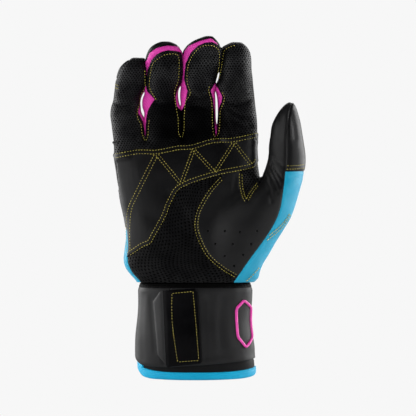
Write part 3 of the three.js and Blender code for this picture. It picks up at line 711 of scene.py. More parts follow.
print("cutting the panels")
cutPoints = np.concatenate([handPoints, handNormals, handFinger[:, None]], 1)
cutFaces = handFaces


# Middle of each face, and the finger it is on. Above the foot of the fingers neighbours may
# overlap, so each face keeps the finger it grew with.
def facesNow():
    points = cutPoints[:, :3][cutFaces].mean(1)
    across, down = inPhoto(points).T
    grown = np.round(cutPoints[:, 6][cutFaces].max(1)).astype(int)
    return points, np.where(points[:, 2] > fingerFoot + 3, grown, fingerAt(across, down))


for name, axis, start, end, on in cuts:
    points, finger = facesNow()
    using = (points[:, axis] > start) & (points[:, axis] < end) & np.isin(finger, on)
    values = seamValue(name, cutPoints[:, :3])
    cutPoints, cutFaces = cutAlong(cutPoints, cutFaces, values, using)

# Which panel each face belongs to
faceMiddle, faceFinger = facesNow()
isOn = {name: seamValue(name, faceMiddle) > 0 for name, *_ in cuts}
onThumb = (faceFinger == 4) & isOn["thumbAbove"]
onFinger = np.zeros(len(faceFinger), bool)
panelFaces = {}
for at, finger in enumerate(fingers):
    own = (faceFinger == at) & isOn["wrist"]
    front = own & isOn[finger + " front"] & isOn["fingersFront"]
    gusset = own & ~front & isOn[finger + " gusset"] & isOn["fingersBack"]
    back = own & ~front & ~gusset & isOn["fingersBack"]
    panelFaces |= {finger + "Front": front, finger + "Gusset": gusset, finger + "Back": back}
    onFinger |= front | gusset | back
rest = ~onFinger & isOn["wrist"]
panelFaces["thumbBack"] = onThumb & (isOn["thumbSide"] | ~isOn["front"])
panelFaces["thumbSide"] = rest & isOn["thumbSide"] & ~onThumb
rest &= ~panelFaces["thumbBack"] & ~panelFaces["thumbSide"]
behind = rest & ~isOn["front"] & ~onThumb
panelFaces["backHand"] = behind & ~isOn["knuckles"]
panelFaces["knuckleFlex"] = behind & isOn["knuckles"]
rest &= ~behind
panelFaces["web"] = rest & isOn["web"] & (faceFinger < 4)
panelFaces["thumbFront"] = rest & ~panelFaces["web"] & (isOn["thumbPanel"] | (faceFinger == 4))
panelFaces["palm"] = rest & ~panelFaces["web"] & ~panelFaces["thumbFront"]
panelFaces["overlay"] = isOn["overlay"] & isOn["front"] & (faceFinger < 4) & isOn["wrist"]


smallestPart = 0.06  # share of a panel's points


# Faces of a panel's larger parts: a seam that grazes the skin can leave a crumb
def cleanParts(faces):
    count = faces.max() + 1
    label = np.arange(count)
    while True:
        lowest = np.full(count, count)
        np.minimum.at(lowest, faces.ravel(), np.repeat(label[faces].min(1), 3))
        lowest = np.minimum(lowest, label)
        lowest = lowest[lowest]
        if (lowest == label).all():
            break
        label = lowest
    groups, sizes = np.unique(label[faces[:, 0]], return_counts=True)
    return faces[np.isin(label[faces[:, 0]], groups[sizes > smallestPart * sizes.sum()])]


def gapTo(points, others):
    tree = KDTree(len(others))
    for at, other in enumerate(others):
        tree.insert(other, at)
    tree.balance()
    return np.array([tree.find(point)[2] for point in points])


# Flat coordinates that follow the leather round a form, in millimetres
def unrolled(points, finger):
    down = inPhoto(points)[:, 1]
    if finger is None:
        left, right, front = through(outlines["palm"], down)[:, :3].T
        front = -front
    else:
        left, right, middle, half = through(outlines[finger], down)[:, :4].T
        front = middle - half
    centre = ((left + right) / 2 - photo["cuffPixel"]) * photo["mmPerPixel"]
    across = points[:, 0] - centre
    return np.stack([np.sign(across) * np.hypot(across, points[:, 1] - front), points[:, 2]], 1)


def giveMap(piece, flat):
    layer = piece.data.uv_layers.new(name="pattern")
    corners = readOut(piece.data.loops, "vertex_index", np.int32).ravel()
    layer.data.foreach_set("uv", flat[corners].ravel())


skinParts = []  # outer faces of the panels, for laying stitches on


# One panel of the hand: lifted off the form, rolled down along its seams, and given its thickness
def makePanel(name, key, thickness=1.1, lift=0.0, roll=0.5, rollWidth=1.6, finger=None):
    faces = cleanParts(cutFaces[panelFaces[key]])
    used, faces = np.unique(faces, return_inverse=True)
    faces = faces.reshape(-1, 3)
    points = cutPoints[used, :3]
    normals = cutPoints[used, 3:6]
    normals = normals / np.linalg.norm(normals, axis=1)[:, None]
    rim = points[np.unique(edgesOf(faces, rimOnly=True))]
    gap = gapTo(points, rim[rim[:, 2] > wristFoot + 0.5])
    drop = roll * (1 - smoothStep(gap / rollWidth))
    points = points + normals * (lift - drop)[:, None]
    piece = newObject(name, points, faces)
    skinParts.append((points, faces))
    for shell in range(2):
        piece.data.materials.append(None)
    modify(piece, "SOLIDIFY", thickness=thickness, offset=-1.0, material_offset=1)
    if name == "thumbLeather":
        punchVents(piece)
    giveMap(piece, unrolled(pointsOf(piece), finger))
    toMetres(piece)
    return piece


# Vents punched through the thumb panel, where the photograph shows them
vents = [(208, 231), (225, 231), (240, 232), (257, 231), (215.5, 244), (233, 244), (251, 244), (225, 256),
         (243, 255), (234, 266)]
ventPunch = {"vertices": 14, "radius": 0.75, "depth": 16.0}
ventPlace = -26.0  # depth where the punches stand


def punchVents(piece):
    bpy.ops.object.select_all(action="DESELECT")
    punches = []
    for across, down in vents:
        bpy.ops.mesh.primitive_cylinder_add(**ventPunch)
        punches.append(bpy.context.object)
        punches[-1].location = fromPhoto(across, down, ventPlace)
        punches[-1].rotation_euler = (math.pi / 2, 0, 0)
    punch = joined(punches)
    bpy.ops.object.transform_apply(location=True, rotation=True, scale=True)
    modify(piece, "BOOLEAN", object=punch, operation="DIFFERENCE", solver="EXACT")
    bpy.data.objects.remove(punch)
    piece.data.shade_smooth()


# Materials


def linear(hexColour):
    channels = [int(hexColour[at : at + 2], 16) / 255 for at in (1, 3, 5)]
    return [c / 12.92 if c <= 0.04045 else ((c + 0.055) / 1.055) ** 2.4 for c in channels] + [1.0]


# Gives a node its inputs, as values or as links from other nodes
def feed(tree, node, inputs):
    for socket, value in inputs.items():
        if isinstance(value, bpy.types.NodeSocket):
            tree.links.new(value, node.inputs[socket])
        else:
            node.inputs[socket].default_value = value


# Adds one node, with its settings, its inputs by name or in order, and the stops of its colour
# ramp, and gives one of its outputs
def addNode(tree, kind, inputs=(), output=0, stops=(), **settings):
    node = tree.nodes.new("ShaderNode" + kind)
    for setting, value in settings.items():
        setattr(node, setting, value)
    feed(tree, node, inputs if isinstance(inputs, dict) else dict(enumerate(inputs)))
    for at, (place, colour) in enumerate(stops):
        node.color_ramp.elements[at].position = place
        node.color_ramp.elements[at].color = colour
    return node.outputs[output]


# A material, its node tree, and each place on the piece in metres
def newMaterial(name):
    material = bpy.data.materials.new(name)
    material.use_nodes = True
    return material, material.node_tree, addNode(material.node_tree, "TexCoord", output="Object")


def finished(material, colour, rough, **others):
    names = {"shine": "Specular IOR Level", "normal": "Normal"}
    inputs = {"Base Color": colour, "Roughness": rough}
    inputs |= {names[name]: value for name, value in others.items()}
    feed(material.node_tree, material.node_tree.nodes["Principled BSDF"], inputs)
    return material


# Sums that lay the dents out, each a result, what is done, and with what. Rows run straight, or
# in rings round a centre.
straightSums = [("row", "DIVIDE", "y", "rowHeight")]
ringSums = [
    ("row", "DIVIDE", "reach", "rowHeight"),
    ("less", "SUBTRACT", "x", "y"),
    ("more", "ADD", "x", "y"),
    ("more", "MULTIPLY", "more", -1.0),
    ("angle", "ARCTAN2", "less", "more"),
    ("ring", "FLOOR", "row"),
    ("ring", "ADD", "ring", 0.5),
    ("ring", "MULTIPLY", "ring", "rowHeight"),
    ("along", "MULTIPLY", "angle", "ring"),
]
dentSums = [
    ("shift", "FLOOR", "row"),
    ("shift", "MODULO", "shift", 2.0),
    ("shift", "MULTIPLY", "shift", 0.5),
    ("column", "DIVIDE", "along", "dentAcross"),
    ("column", "ADD", "column", "shift"),
    ("across", "FRACT", "column"),
    ("across", "SUBTRACT", "across", 0.5),
    ("across", "MULTIPLY", "across", "wide"),
    ("up", "FRACT", "row"),
    ("up", "SUBTRACT", "up", 0.5),
    ("up", "MULTIPLY", "up", "tall"),
    ("across", "POWER", "across", 2.0),
    ("up", "POWER", "up", 2.0),
    ("away", "ADD", "across", "up"),
    ("away", "SQRT", "away"),
]
dentEdge = (0.55, 1.35)  # where a dent's side starts and ends, as a share of its half size


# How deep each place lies in staggered rows of oval dents, 0 on the leather to 1 in a dent
def dentRows(tree, place, look):
    known = dict(look)
    known["wide"] = look["dentAcross"] / look["dentWidth"] * 2
    known["tall"] = look["rowHeight"] / look["dentHeight"] * 2
    if look["centre"]:
        place = addNode(tree, "VectorMath", (place, (*look["centre"], 0)), operation="SUBTRACT")
        known["reach"] = addNode(tree, "VectorMath", (place,), "Value", operation="LENGTH")
    for output, axis in enumerate("xy"):
        known[axis] = addNode(tree, "SeparateXYZ", (place,), output)
    known["along"] = known["x"]
    for result, operation, *inputs in (ringSums if look["centre"] else straightSums) + dentSums:
        inputs = [known.get(one, one) for one in inputs]
        known[result] = addNode(tree, "Math", inputs, operation=operation)
    inputs = (known["away"], *dentEdge, 1.0, 0.0)
    return addNode(tree, "MapRange", inputs, interpolation_type="SMOOTHSTEP")


# Scales of the leather's unevenness, in patches to the metre
toneScale = 45.0  # 22 mm, in tone and polish
rubScale = 75.0  # 13 mm, where handling has rubbed it
creaseScale = 60.0  # 17 mm, soft creasing of smooth leather
pebbleScale = 1400.0  # 0.7 mm, its fine pebbling
polishRange = 0.1  # how much smoother leather is at its most polished


# Embossed goatskin: dyed through, pressed with staggered rows of small dents, fine grain between
def makeEmbossedGoatskin(name, look):
    material, tree, point = newMaterial(name)
    add = partial(addNode, tree)
    flat = add("UVMap", uv_map="pattern")
    wander = add("TexNoise", {"Vector": flat, "Scale": look["wanderScale"], "Detail": 1.0}, "Color")
    wander = add("VectorMath", (wander, (0.5, 0.5, 0.5)), operation="SUBTRACT")
    wander = add("VectorMath", {0: wander, 3: look["wander"]}, operation="SCALE")
    dents = dentRows(tree, add("VectorMath", (flat, wander), operation="ADD"), look)
    patch = add("TexNoise", {"Vector": point, "Scale": toneScale, "Detail": 3.0})
    # The dents' colour is darker than the leather between them: painted shade in the dents
    base = add("ValToRGB", (dents,), stops=[(0.2, linear(look["colour"])), (0.8, linear(look["dent"]))])
    worn = add("ValToRGB", (patch,), stops=[(0.3, (0.8, 0.8, 0.8, 1)), (0.75, (1.15, 1.15, 1.15, 1))])
    colour = add("Mix", {0: 1.0, 6: base, 7: worn}, 2, data_type="RGBA", blend_type="MULTIPLY")
    shine = add("Math", (dents, -look["shine"], look["shine"] * 1.1), operation="MULTIPLY_ADD")
    rubbed = add("TexNoise", {"Vector": point, "Scale": rubScale, "Detail": 2.0})
    rubbed = add("MapRange", (rubbed, 0.35, 0.68, 0.6, look["rubbed"]))
    shine = add("Math", (shine, rubbed), operation="MULTIPLY")
    # Painted shade: the colour and the shine are darkened round a place, most at its middle
    if look["paintedShadePlace"]:
        middle = (fromPhoto(*look["paintedShadePlace"], 0.0) + toRow) / metre
        wide, tall = [metre / photo["mmPerPixel"] / reach for reach in look["paintedShadeReach"]]
        away = add("VectorMath", (point, middle), operation="SUBTRACT")
        away = add("VectorMath", (away, (wide, 0, tall)), operation="MULTIPLY")
        away = add("VectorMath", (away,), "Value", operation="LENGTH")
        paintedShade = add("MapRange", (away, 0.5, 1.1, look["paintedShadeLeast"], 1.0))
        shine = add("Math", (shine, paintedShade), operation="MULTIPLY")
        colour = add("VectorMath", {0: colour, 3: paintedShade}, operation="SCALE")
    grain = add("TexVoronoi", {"Vector": point, "Scale": metre / look["grain"]})
    fine = add("Bump", {"Strength": 0.3, "Distance": 0.0001, "Height": grain})
    pressed = {"Strength": look["press"], "Distance": look["depth"], "Height": dents, "Normal": fine}
    rough = add("MapRange", (patch, 0.3, 0.7, look["rough"] - polishRange, look["rough"]))
    return finished(material, colour, rough, shine=shine, normal=add("Bump", pressed, invert=True))


# Lengths in mm: from dent to dent, from row to row, size of a dent, grain between them, centre of the rings.
# Painted shade darkens the colour and shine of the fingers' leather round a place near their roots: place and
# reach in pixels, and the share left at its middle.
palmGoatskin = {
    "dentAcross": 3.1, "rowHeight": 1.9, "dentWidth": 1.65, "dentHeight": 1.0, "grain": 0.45,
    "wanderScale": 0.03, "wander": 9.0, "press": 0.95, "depth": 0.0009, "rubbed": 1.3,
    "colour": "#050506", "dent": "#000000", "shine": 0.12, "rough": 0.5, "centre": (12.5, 142.7),
    "paintedShadePlace": None,
}
fingerGoatskin = {
    "dentAcross": 2.3, "rowHeight": 1.6, "dentWidth": 1.3, "dentHeight": 0.95, "grain": 0.4,
    "wanderScale": 0.05, "wander": 6.0, "press": 0.95, "depth": 0.001, "rubbed": 2.2,
    "colour": "#08080a", "dent": "#010101", "shine": 0.15, "rough": 0.57, "centre": None,
    "paintedShadePlace": (190, 124), "paintedShadeReach": (58, 32), "paintedShadeLeast": 0.15,
}


# Smooth cabretta: close, slightly waxy leather, with fine pebbling and soft creasing. The foam of
# the cuff is faced with a smooth skin like it.
def makeSmoothLeather(name, base, lightest, shine, roughest=0.44):
    material, tree, point = newMaterial(name)
    patch = addNode(tree, "TexNoise", {"Vector": point, "Scale": creaseScale, "Detail": 4.0})
    colour = addNode(tree, "ValToRGB", (patch,), stops=[(0.3, linear(base)), (0.75, linear(lightest))])
    rough = addNode(tree, "MapRange", (patch, 0.3, 0.7, roughest - polishRange, roughest))
    pebbles = addNode(tree, "TexVoronoi", {"Vector": point, "Scale": pebbleScale})
    fine = addNode(tree, "Bump", {"Strength": 0.2, "Distance": 0.00006, "Height": pebbles})
    creased = {"Strength": 0.25, "Distance": 0.0008, "Height": patch, "Normal": fine}
    return finished(material, colour, rough, shine=shine, normal=addNode(tree, "Bump", creased))


# Knitted stretch fabric: fine upright ribs of yarn, matt with a soft sheen
def makeStretch(name, base, lightest, shine):
    ribPitch = 0.9  # mm
    toneAcross = 70.0  # patches of uneven dye to the metre
    material, tree, point = newMaterial(name)
    add = partial(addNode, tree)
    place = add("Mapping", {"Vector": point, "Scale": (1, 0.6, 0.5)})
    ribs = {"Vector": place, "Scale": metre / ribPitch / turn * 3.14, "Distortion": 0.6}
    weave = add("TexWave", ribs, "Fac", wave_type="BANDS", bands_direction="DIAGONAL")
    patch = add("TexNoise", {"Vector": point, "Scale": toneAcross, "Detail": 3.0})
    yarn = add("Math", (weave, 0.25), operation="MULTIPLY")
    tone = add("Math", (patch, yarn), operation="ADD")
    colour = add("ValToRGB", (tone,), stops=[(0.3, linear(base)), (0.85, linear(lightest))])
    ribbed = add("Bump", {"Strength": 0.3, "Distance": 0.0002, "Height": weave})
    return finished(material, colour, 0.5, shine=shine, normal=ribbed)


# Hook and loop: dense pile on a woven back, with painted shade between its loops
def makePile(name, base, height):
    pileScale = 1100.0  # loops to the metre, 0.9 mm apart
    material, tree, point = newMaterial(name)
    pile = addNode(tree, "TexVoronoi", {"Vector": point, "Scale": pileScale})
    # Painted shade: darker away from the middle of each loop
    colour = addNode(tree, "ValToRGB", (pile,), stops=[(0.1, linear(base)), (0.7, linear("#030303"))])
    raised = {"Strength": 0.9, "Distance": height, "Height": pile}
    return finished(material, colour, 0.9, normal=addNode(tree, "Bump", raised, invert=True))


# A slightly glossy finish of uneven tone: bonded polyester thread, and the moulded piping
def makeGloss(name, scale, detail, base, lightest, rough):
    material, tree, point = newMaterial(name)
    patch = addNode(tree, "TexNoise", {"Vector": point, "Scale": scale, "Detail": detail})
    colour = addNode(tree, "ValToRGB", (patch,), stops=[(0.3, linear(base)), (0.7, linear(lightest))])
    return finished(material, colour, rough)


print("making the finishes")
palmLeather = makeEmbossedGoatskin("palmGoatskin", palmGoatskin)
fingerLeather = makeEmbossedGoatskin("fingerGoatskin", fingerGoatskin)
smoothCabretta = makeSmoothLeather("smoothCabretta", "#040405", "#070708", 0.21)
# The thumb panel's copy is lighter and shinier: painted light on the thumb's front
thumbCabretta = makeSmoothLeather("thumbLitCabretta", "#050506", "#09090a", 0.25, 0.54)
backCabretta = makeSmoothLeather("backCabretta", "#040405", "#070708", 0.13, 0.48)
# The tab's copy is darker and less shiny: painted shade on the tab
tabLeather = makeSmoothLeather("stiffShadedCabretta", "#020203", "#030304", 0.07)
blueStretch = makeStretch("blueStretchKnit", "#0080a0", "#048eae", 0.36)
blackStretch = makeStretch("blackStretchKnit", "#050506", "#09090a", 0.12)
pinkStretch = makeStretch("pinkStretchKnit", "#9f227a", "#c03692", 0.22)
goldThread = makeGloss("goldThread", 400.0, 1.0, "#7d742a", "#b5a848", 0.45)
lining = makeStretch("brushedLining", "#030303", "#060606", 0.05)
cuffFoam = makeSmoothLeather("neopreneFoam", "#0e0e0f", "#151516", 0.26, 0.56)
sleeveFoam = makeSmoothLeather("sleeveNeoprene", "#0b0b0c", "#101011", 0.12, 0.6)
bindingTape = makeStretch("bindingTape", "#008fb6", "#009bc2", 0.3)
elasticKnit = makeStretch("gatheredElastic", "#020202", "#040404", 0.04)
loopPile = makePile("loopPile", "#141415", 0.0006)
hookPile = makePile("hookPile", "#101011", 0.0009)
pipingPink = makeGloss("pipingPink", 300.0, 2.0, "#c22f8e", "#d8409f", 0.4)


# Gives a piece its finish and attaches it to its body; a piece with two bodies only has its place baked in
def wear(piece, material, slot, *bodies):
    if len(piece.data.materials) == 2:
        piece.data.materials[0] = material
        piece.data.materials[1] = lining
    else:
        piece.data.materials.append(material)
    if len(bodies) == 1:
        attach(piece, bodies[0])
    elif bodies[1] == "thumb":
        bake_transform(piece)
    else:
        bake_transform(piece)


print("making the hand's panels")
handPanels = [
    # name, key, material, slot, bodies, solids, settings
    ("palmLeather", "palm", palmLeather, "grain_leather", ["hand"], ["palm_leather"], {}),
    ("palmOverlay", "overlay", smoothCabretta, "smooth_leather", ["hand"], ["palm_overlay"],
     {"lift": 0.9, "thickness": 0.8, "roll": 0.6, "rollWidth": 1.0}),
    ("webPatch", "web", fingerLeather, "grain_leather", ["hand"], ["web_patch"], {}),
    ("thumbLeather", "thumbFront", thumbCabretta, "smooth_leather", ["hand", "thumb"],
     ["thumb_panel", "thumb_front_leather"], {"finger": "thumb"}),
    ("thumbBackLeather", "thumbBack", smoothCabretta, "smooth_leather", ["hand", "thumb"],
     ["thumb_back_leather"], {"finger": "thumb"}),
    ("thumbSidePanel", "thumbSide", blueStretch, "blue_stretch", ["hand", "thumb"],
     ["thumb_side_panel"], {"finger": "thumb"}),
    ("backHandPanel", "backHand", blueStretch, "blue_stretch", ["hand", "thumb"], ["back_hand_panel"], {}),
    ("knuckleFlexPanel", "knuckleFlex", blackStretch, "black_stretch", ["hand"], ["knuckle_flex_panel"], {}),
]
for finger in fingers:
    for part, material, slot, node in (
        ("Front", fingerLeather, "grain_leather", "front_leather"),
        ("Gusset", pinkStretch, "pink_stretch", "gusset"),
        ("Back", backCabretta, "grain_leather", "back_leather"),
    ):
        panel = finger + part
        handPanels.append(
            (panel, panel, material, slot, ["hand", finger], [f"{finger}_{node}"], {"finger": finger})
        )
for name, key, material, slot, bodies, solids, settings in handPanels:
    piece = makePanel(name, key, **settings)
    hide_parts(*solids)
    wear(piece, material, slot, *bodies)


# Cuff. Angle 0 is the thumb side; angles grow across the front to the little-finger side.
cuff = {
    "halfWidth": 46.0,
    "halfDepth": 24.0,
    "squareness": 2.2,
    # height, how far the cuff stands outside its middle size there
    "flare": [[0, 0.3], [10, 0.5], [25, 0.8], [33, 0.6], [40, -0.1], [47, -0.9], [54, -1.4], [72, -1.5],
              [80, -1.5]],
    "thumbFlare": [[0, 2.6], [10, 2.6], [14, 2.2], [18, 0.2], [24, -0.3], [34, -1.5], [44, -1.5], [54, -0.4],
                   [62, 0.2], [80, 0.2]],
    "top": 71.2,
    "step": 1.5,  # degrees between the points of a band
    "rollWidth": 2.5,  # how far in from its edges a band is rounded
    "waveSize": 9.0,  # of the soft waves that wear has pressed into the strap
}


def cuffPoints(angle, grow, height):
    power = 2 / cuff["squareness"]
    toThumb = np.maximum(np.cos(angle), 0) ** 2
    grow = grow + through(cuff["flare"], height)[..., 0]
    grow = grow + toThumb * through(cuff["thumbFlare"], height)[..., 0]
    cosine, sine = np.cos(angle), np.sin(angle)
    x = (cuff["halfWidth"] + grow) * np.sign(cosine) * np.abs(cosine) ** power
    y = -(cuff["halfDepth"] + grow) * np.sign(sine) * np.abs(sine) ** power
    return np.stack([x, y, height], 1)


# A flat grid from 0 to 1 both ways, to be wrapped round the cuff
def startGrid(name, across, rows):
    bpy.ops.object.select_all(action="DESELECT")
    bpy.ops.mesh.primitive_grid_add(
        x_subdivisions=across, y_subdivisions=rows, size=1.0, location=(0.5, 0.5, 0)
    )
    piece = bpy.context.object
    bpy.ops.object.transform_apply(location=True, rotation=True, scale=True)
    piece.name = name
    return piece


def editAll(piece, *steps):
    only(piece)
    bpy.ops.object.mode_set(mode="EDIT")
    bpy.ops.mesh.select_all(action="SELECT")
    for step, settings in steps:
        step(**settings)
    bpy.ops.object.mode_set(mode="OBJECT")


def giveThickness(piece, thickness, edge, segments=3):
    editAll(
        piece,
        (bpy.ops.mesh.remove_doubles, {"threshold": 0.001}),
        (bpy.ops.mesh.normals_make_consistent, {"inside": False}),
    )
    if (readOut(piece.data.vertices, "normal") * pointsOf(piece) * [1, 1, 0]).sum() < 0:
        editAll(piece, (bpy.ops.mesh.flip_normals, {}))
    modify(piece, "SOLIDIFY", thickness=thickness, offset=-1.0)
    sharp = {"limit_method": "ANGLE", "angle_limit": math.radians(50)}
    modify(piece, "BEVEL", width=edge, segments=segments, **sharp)
    piece.data.shade_smooth()


# Upright creases of the strap beside the tab, in pixels: line, half width in mm, depth in mm
strapFolds = [
    ([(158.6, 316), (159.4, 334), (161.4, 352), (164, 364)], 1.5, 1.0),
    ([(150.6, 300), (152.4, 326), (154.6, 352)], 1.6, 0.45),
    ([(143, 296), (141.4, 330), (142.4, 360)], 2.4, 0.4),
    ([(205.4, 301), (206.4, 324), (208, 358)], 3.4, 1.0),
    ([(222, 300), (220, 330), (222, 352)], 3.0, 0.35),
    ([(214, 356), (232, 353), (248, 347)], 2.4, 0.5),
]


# A band round the cuff between two angles: low and high give its edges at an angle
def cuffBand(
    name, start, end, low, high, grow, thickness, edge=0.5, roll=0.0, rows=24, waves=0.0, seed=0.0
):
    piece = startGrid(name, int((end - start) / math.radians(cuff["step"])), rows)
    flat = pointsOf(piece)
    angle = start + flat[:, 0] * (end - start)
    bottom, top = low(angle), high(angle)
    height = bottom + flat[:, 1] * (top - bottom)
    fromEdge = np.minimum(height - bottom, top - height)
    grow = grow - roll * (1 - smoothStep(fromEdge / cuff["rollWidth"]))
    if waves:
        around = cuffPoints(angle, 0.0, height) * [1, 1, 0.25]
        grow = grow + waves * lumps(around, cuff["waveSize"], seed)
        pixels = inPhoto(cuffPoints(angle, grow, height))
        grow = grow - foldDepth(strapFolds, pixels, smoothStep(np.sin(angle) * 4))
    movePoints(piece, cuffPoints(angle, grow, height))
    giveThickness(piece, thickness, edge)
    giveMap(piece, pointsOf(piece)[:, [0, 2]])
    toMetres(piece)
    return piece


def byAngle(table):
    degrees = [[math.radians(row[0]), *row[1:]] for row in table]
    return lambda angle: through(degrees, np.mod(angle, turn))[..., 0]


def level(height):
    return lambda angle: np.full_like(angle, height)


strap = {
    "thickness": 2.0,
    "low": byAngle([[0, 16.5], [45, 14], [90, 11.2], [120, 9.8], [150, 10.8], [180, 14.6], [230, 12],
                    [270, 11], [320, 14], [360, 16.5]]),
    "flapEnd": 113.0,  # degrees round from the thumb side
    "seamGap": 0.01,  # radians between the sewn-down length and the flap
    "hingeGap": 0.066,  # from the sewn-down length to the thumb side, so that the flap can turn
    "flapGap": 0.012,
    "edgeRoll": 0.7,
    "rows": 40,
}
hem = {
    "low": byAngle([[0, 4.2], [14, 2.4], [30, 1.2], [60, 0.3], [90, 0], [125, 0.4], [145, 1.1], [158, 3],
                    [168, 5.8], [180, 8.4], [192, 5.8], [205, 3], [225, 1], [270, 0], [320, 1], [345, 2.6],
                    [360, 4.2]]),
    "high": byAngle([[0, 9.6], [20, 8.4], [50, 6.6], [90, 6], [125, 6.6], [148, 8.6], [154, 9.6], [157, 13.6],
                     [168, 14.4], [180, 14.8], [192, 13.6], [208, 10.4], [228, 7.6], [270, 6.4], [330, 8],
                     [360, 9.6]]),
    "wall": 1.3,
    "rings": (1.0, 0.97, 0.9, 0.86, 0.82, 0.78, 0.7, 0.5, 0.3, 0.15, 0.05),  # shares of its height
    "overlap": 1.6,  # how far the sleeve stands inside it
    "topRoll": (0.93, 0.07, 0.5),  # share of its height where it rolls in, over how much, how deep
    "footRoll": (0.15, 0.15, 0.7),
    "groove": (0.82, 0.05, 0.35),  # where its sewing draws it in, half width, how deep
    "footIn": (1.6, 1.2),  # how far in from its outer and inner walls the foot is flat
    "seat": 0.2,  # how far it is let into the sleeve
}
sleeveFace = -2.8
sleeveWall = 2.2


def sleeveFoot(angle):
    return hem["low"](angle) + hem["overlap"]


print("making the cuff")
atTop = level(cuff["top"])
sleeve = cuffBand("cuffSleeve", 0, turn, sleeveFoot, atTop, sleeveFace, sleeveWall)
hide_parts("cuff_sleeve")
wear(sleeve, sleeveFoam, "neoprene", "hand")

flapEnd = math.radians(strap["flapEnd"])
baseStart = flapEnd + strap["seamGap"]
padded = {"grow": 0.0, "thickness": strap["thickness"], "roll": strap["edgeRoll"], "rows": strap["rows"]}
base = cuffBand(
    "strapBase", baseStart, turn - strap["hingeGap"], strap["low"], atTop, waves=0.35, seed=2.0, **padded
)
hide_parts("strap_base")
wear(base, cuffFoam, "neoprene", "hand")
flap = cuffBand("strapFlap", strap["flapGap"], flapEnd, strap["low"], atTop, waves=0.3, seed=5.0, **padded)
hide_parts("strap_flap")
wear(flap, cuffFoam, "neoprene", "strap")


# Binding tape folded round the lower edge of the sleeve
def makeHem():
    sides = 240
    angle = np.linspace(0, turn, sides, endpoint=False)
    low, high = hem["low"](angle), hem["high"](angle)
    outer, inner = sleeveFace + hem["wall"], sleeveFace - sleeveWall - hem["wall"]
    topFrom, topOver, topDeep = hem["topRoll"]
    footFrom, footOver, footDeep = hem["footRoll"]
    grooveAt, grooveWide, grooveDeep = hem["groove"]
    outerFoot, innerFoot = hem["footIn"]
    section = []  # how far out, and share of the tape's height
    for share in hem["rings"]:
        edge = topDeep * max(0, (share - topFrom) / topOver) ** 2
        edge += footDeep * max(0, (footFrom - share) / footOver) ** 2
        groove = grooveDeep * math.exp(-(((share - grooveAt) / grooveWide) ** 2))
        section.append((outer - edge - groove, share))
    section += [(outer - outerFoot, 0), (inner + innerFoot, 0), (inner, 0.1), (inner, 0.5), (inner, 1)]
    section += [(sleeveFace - sleeveWall + hem["seat"], 1), (sleeveFace - hem["seat"], 1)]
    loops = [cuffPoints(angle, grow, low + share * (high - low)) for grow, share in section]
    piece = newObject("hemBinding", np.concatenate(loops), ringFaces(len(loops), sides, closed=True))
    editAll(piece, (bpy.ops.mesh.normals_make_consistent, {"inside": False}))
    toMetres(piece)
    return piece


binding = makeHem()
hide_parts("hem_binding")
wear(binding, bindingTape, "blue_binding", "hand")

elastic = {
    "low": 69.6,
    "tall": 7.4,
    "inset": 1.6,  # behind the middle size of the cuff
    "wall": 1.6,
    "rolls": 0.7,
    "gathers": [(0.06, 90, 0), (0.05, 53, 1)],  # depth, how many go round the wrist, turn
    "tuckFrom": 73.4,  # height where it turns in under the hand
    "tuck": 2.2,
}


# Gathered elastic between the cuff and the hand: two soft rolls with fine gathers
def makeElastic():
    piece = startGrid("wristElastic", 360, 16)
    flat = pointsOf(piece)
    angle = flat[:, 0] * turn
    height = elastic["low"] + flat[:, 1] * elastic["tall"]
    gathers = sum(depth * np.sin(angle * count + ahead) for depth, count, ahead in elastic["gathers"])
    rolls = elastic["rolls"] * np.abs(np.sin(flat[:, 1] * turn)) ** 0.7
    tuck = elastic["tuck"] * smoothStep((height - elastic["tuckFrom"]) / 2)
    movePoints(piece, cuffPoints(angle, rolls - elastic["inset"] + gathers - tuck, height))
    giveThickness(piece, elastic["wall"], 0.3, 2)
    toMetres(piece)
    return piece


wristElastic = makeElastic()
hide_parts("wrist_elastic")
wear(wristElastic, elasticKnit, "black_stretch", "hand")


def angleAcross(across):
    share = across / cuff["halfWidth"]
    return math.acos(math.copysign(abs(share) ** (cuff["squareness"] / 2), share))


patches = [
    # name, solid, right and left edges in mm, how far out, lower and upper edges, body, material
    ("loopPatch", "loop_patch", 17, -27, sleeveFace + 0.3, 15, 67, "hand", loopPile),
    ("hookPatch", "hook_patch", 9, -17, 0.7 - strap["thickness"], 18.5, 63, "strap", hookPile),
]
patchWall = 1.0
for name, solid, right, left, grow, low, high, body, material in patches:
    start, end = angleAcross(right), angleAcross(left)
    patch = cuffBand(name, start, end, level(low), level(high), grow, patchWall, edge=0.25)
    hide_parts(solid)
    wear(patch, material, "hook_and_loop", body)

# Pull tab: a stiff stitched leather tab, creased where its grip end bends back round the wrist
tab = {
    "outline": [(160.5, 290.6), (152.6, 302), (155.2, 330), (157.4, 355), (167.4, 366.6), (200.8, 363),
                (202.3, 360.6), (200.6, 325), (198.4, 293), (195, 288.2)],
    "creaseTop": 162.6,
    "creaseBottom": 166.0,
    "lift": 0.5,
    "thickness": 1.3,
    "stand": 2.6,  # how far the crease stands off the strap
    "gripRun": 10.5,  # pixels from the crease over which the grip end falls back to the strap
    "frontRun": 90,  # and the stitched end
    "depth": -22.0,  # about where its face lies, to lay its outline out
    "creaseSoftness": (0.25, 2.0),  # share that the crease is rounded off, over how many pixels
    "edgeRoll": (0.5, 1.2),  # how deep, and how far in from the edge
    "waves": (0.25, 8.0, 9.0),  # height, size and seed
    "stitches": [(172, 293.5), (193, 291.3), (196, 325), (198.8, 360.4), (177.6, 362), (173.6, 335),
                 (172, 320), (171.7, 305)],
}


def strapDepthAt(x, height):
    grow = through(cuff["flare"], height)[..., 0]
    share = np.clip(np.abs(x) / (cuff["halfWidth"] + grow), 0, 0.999)
    return -(cuff["halfDepth"] + grow) * (1 - share ** cuff["squareness"]) ** (1 / cuff["squareness"])


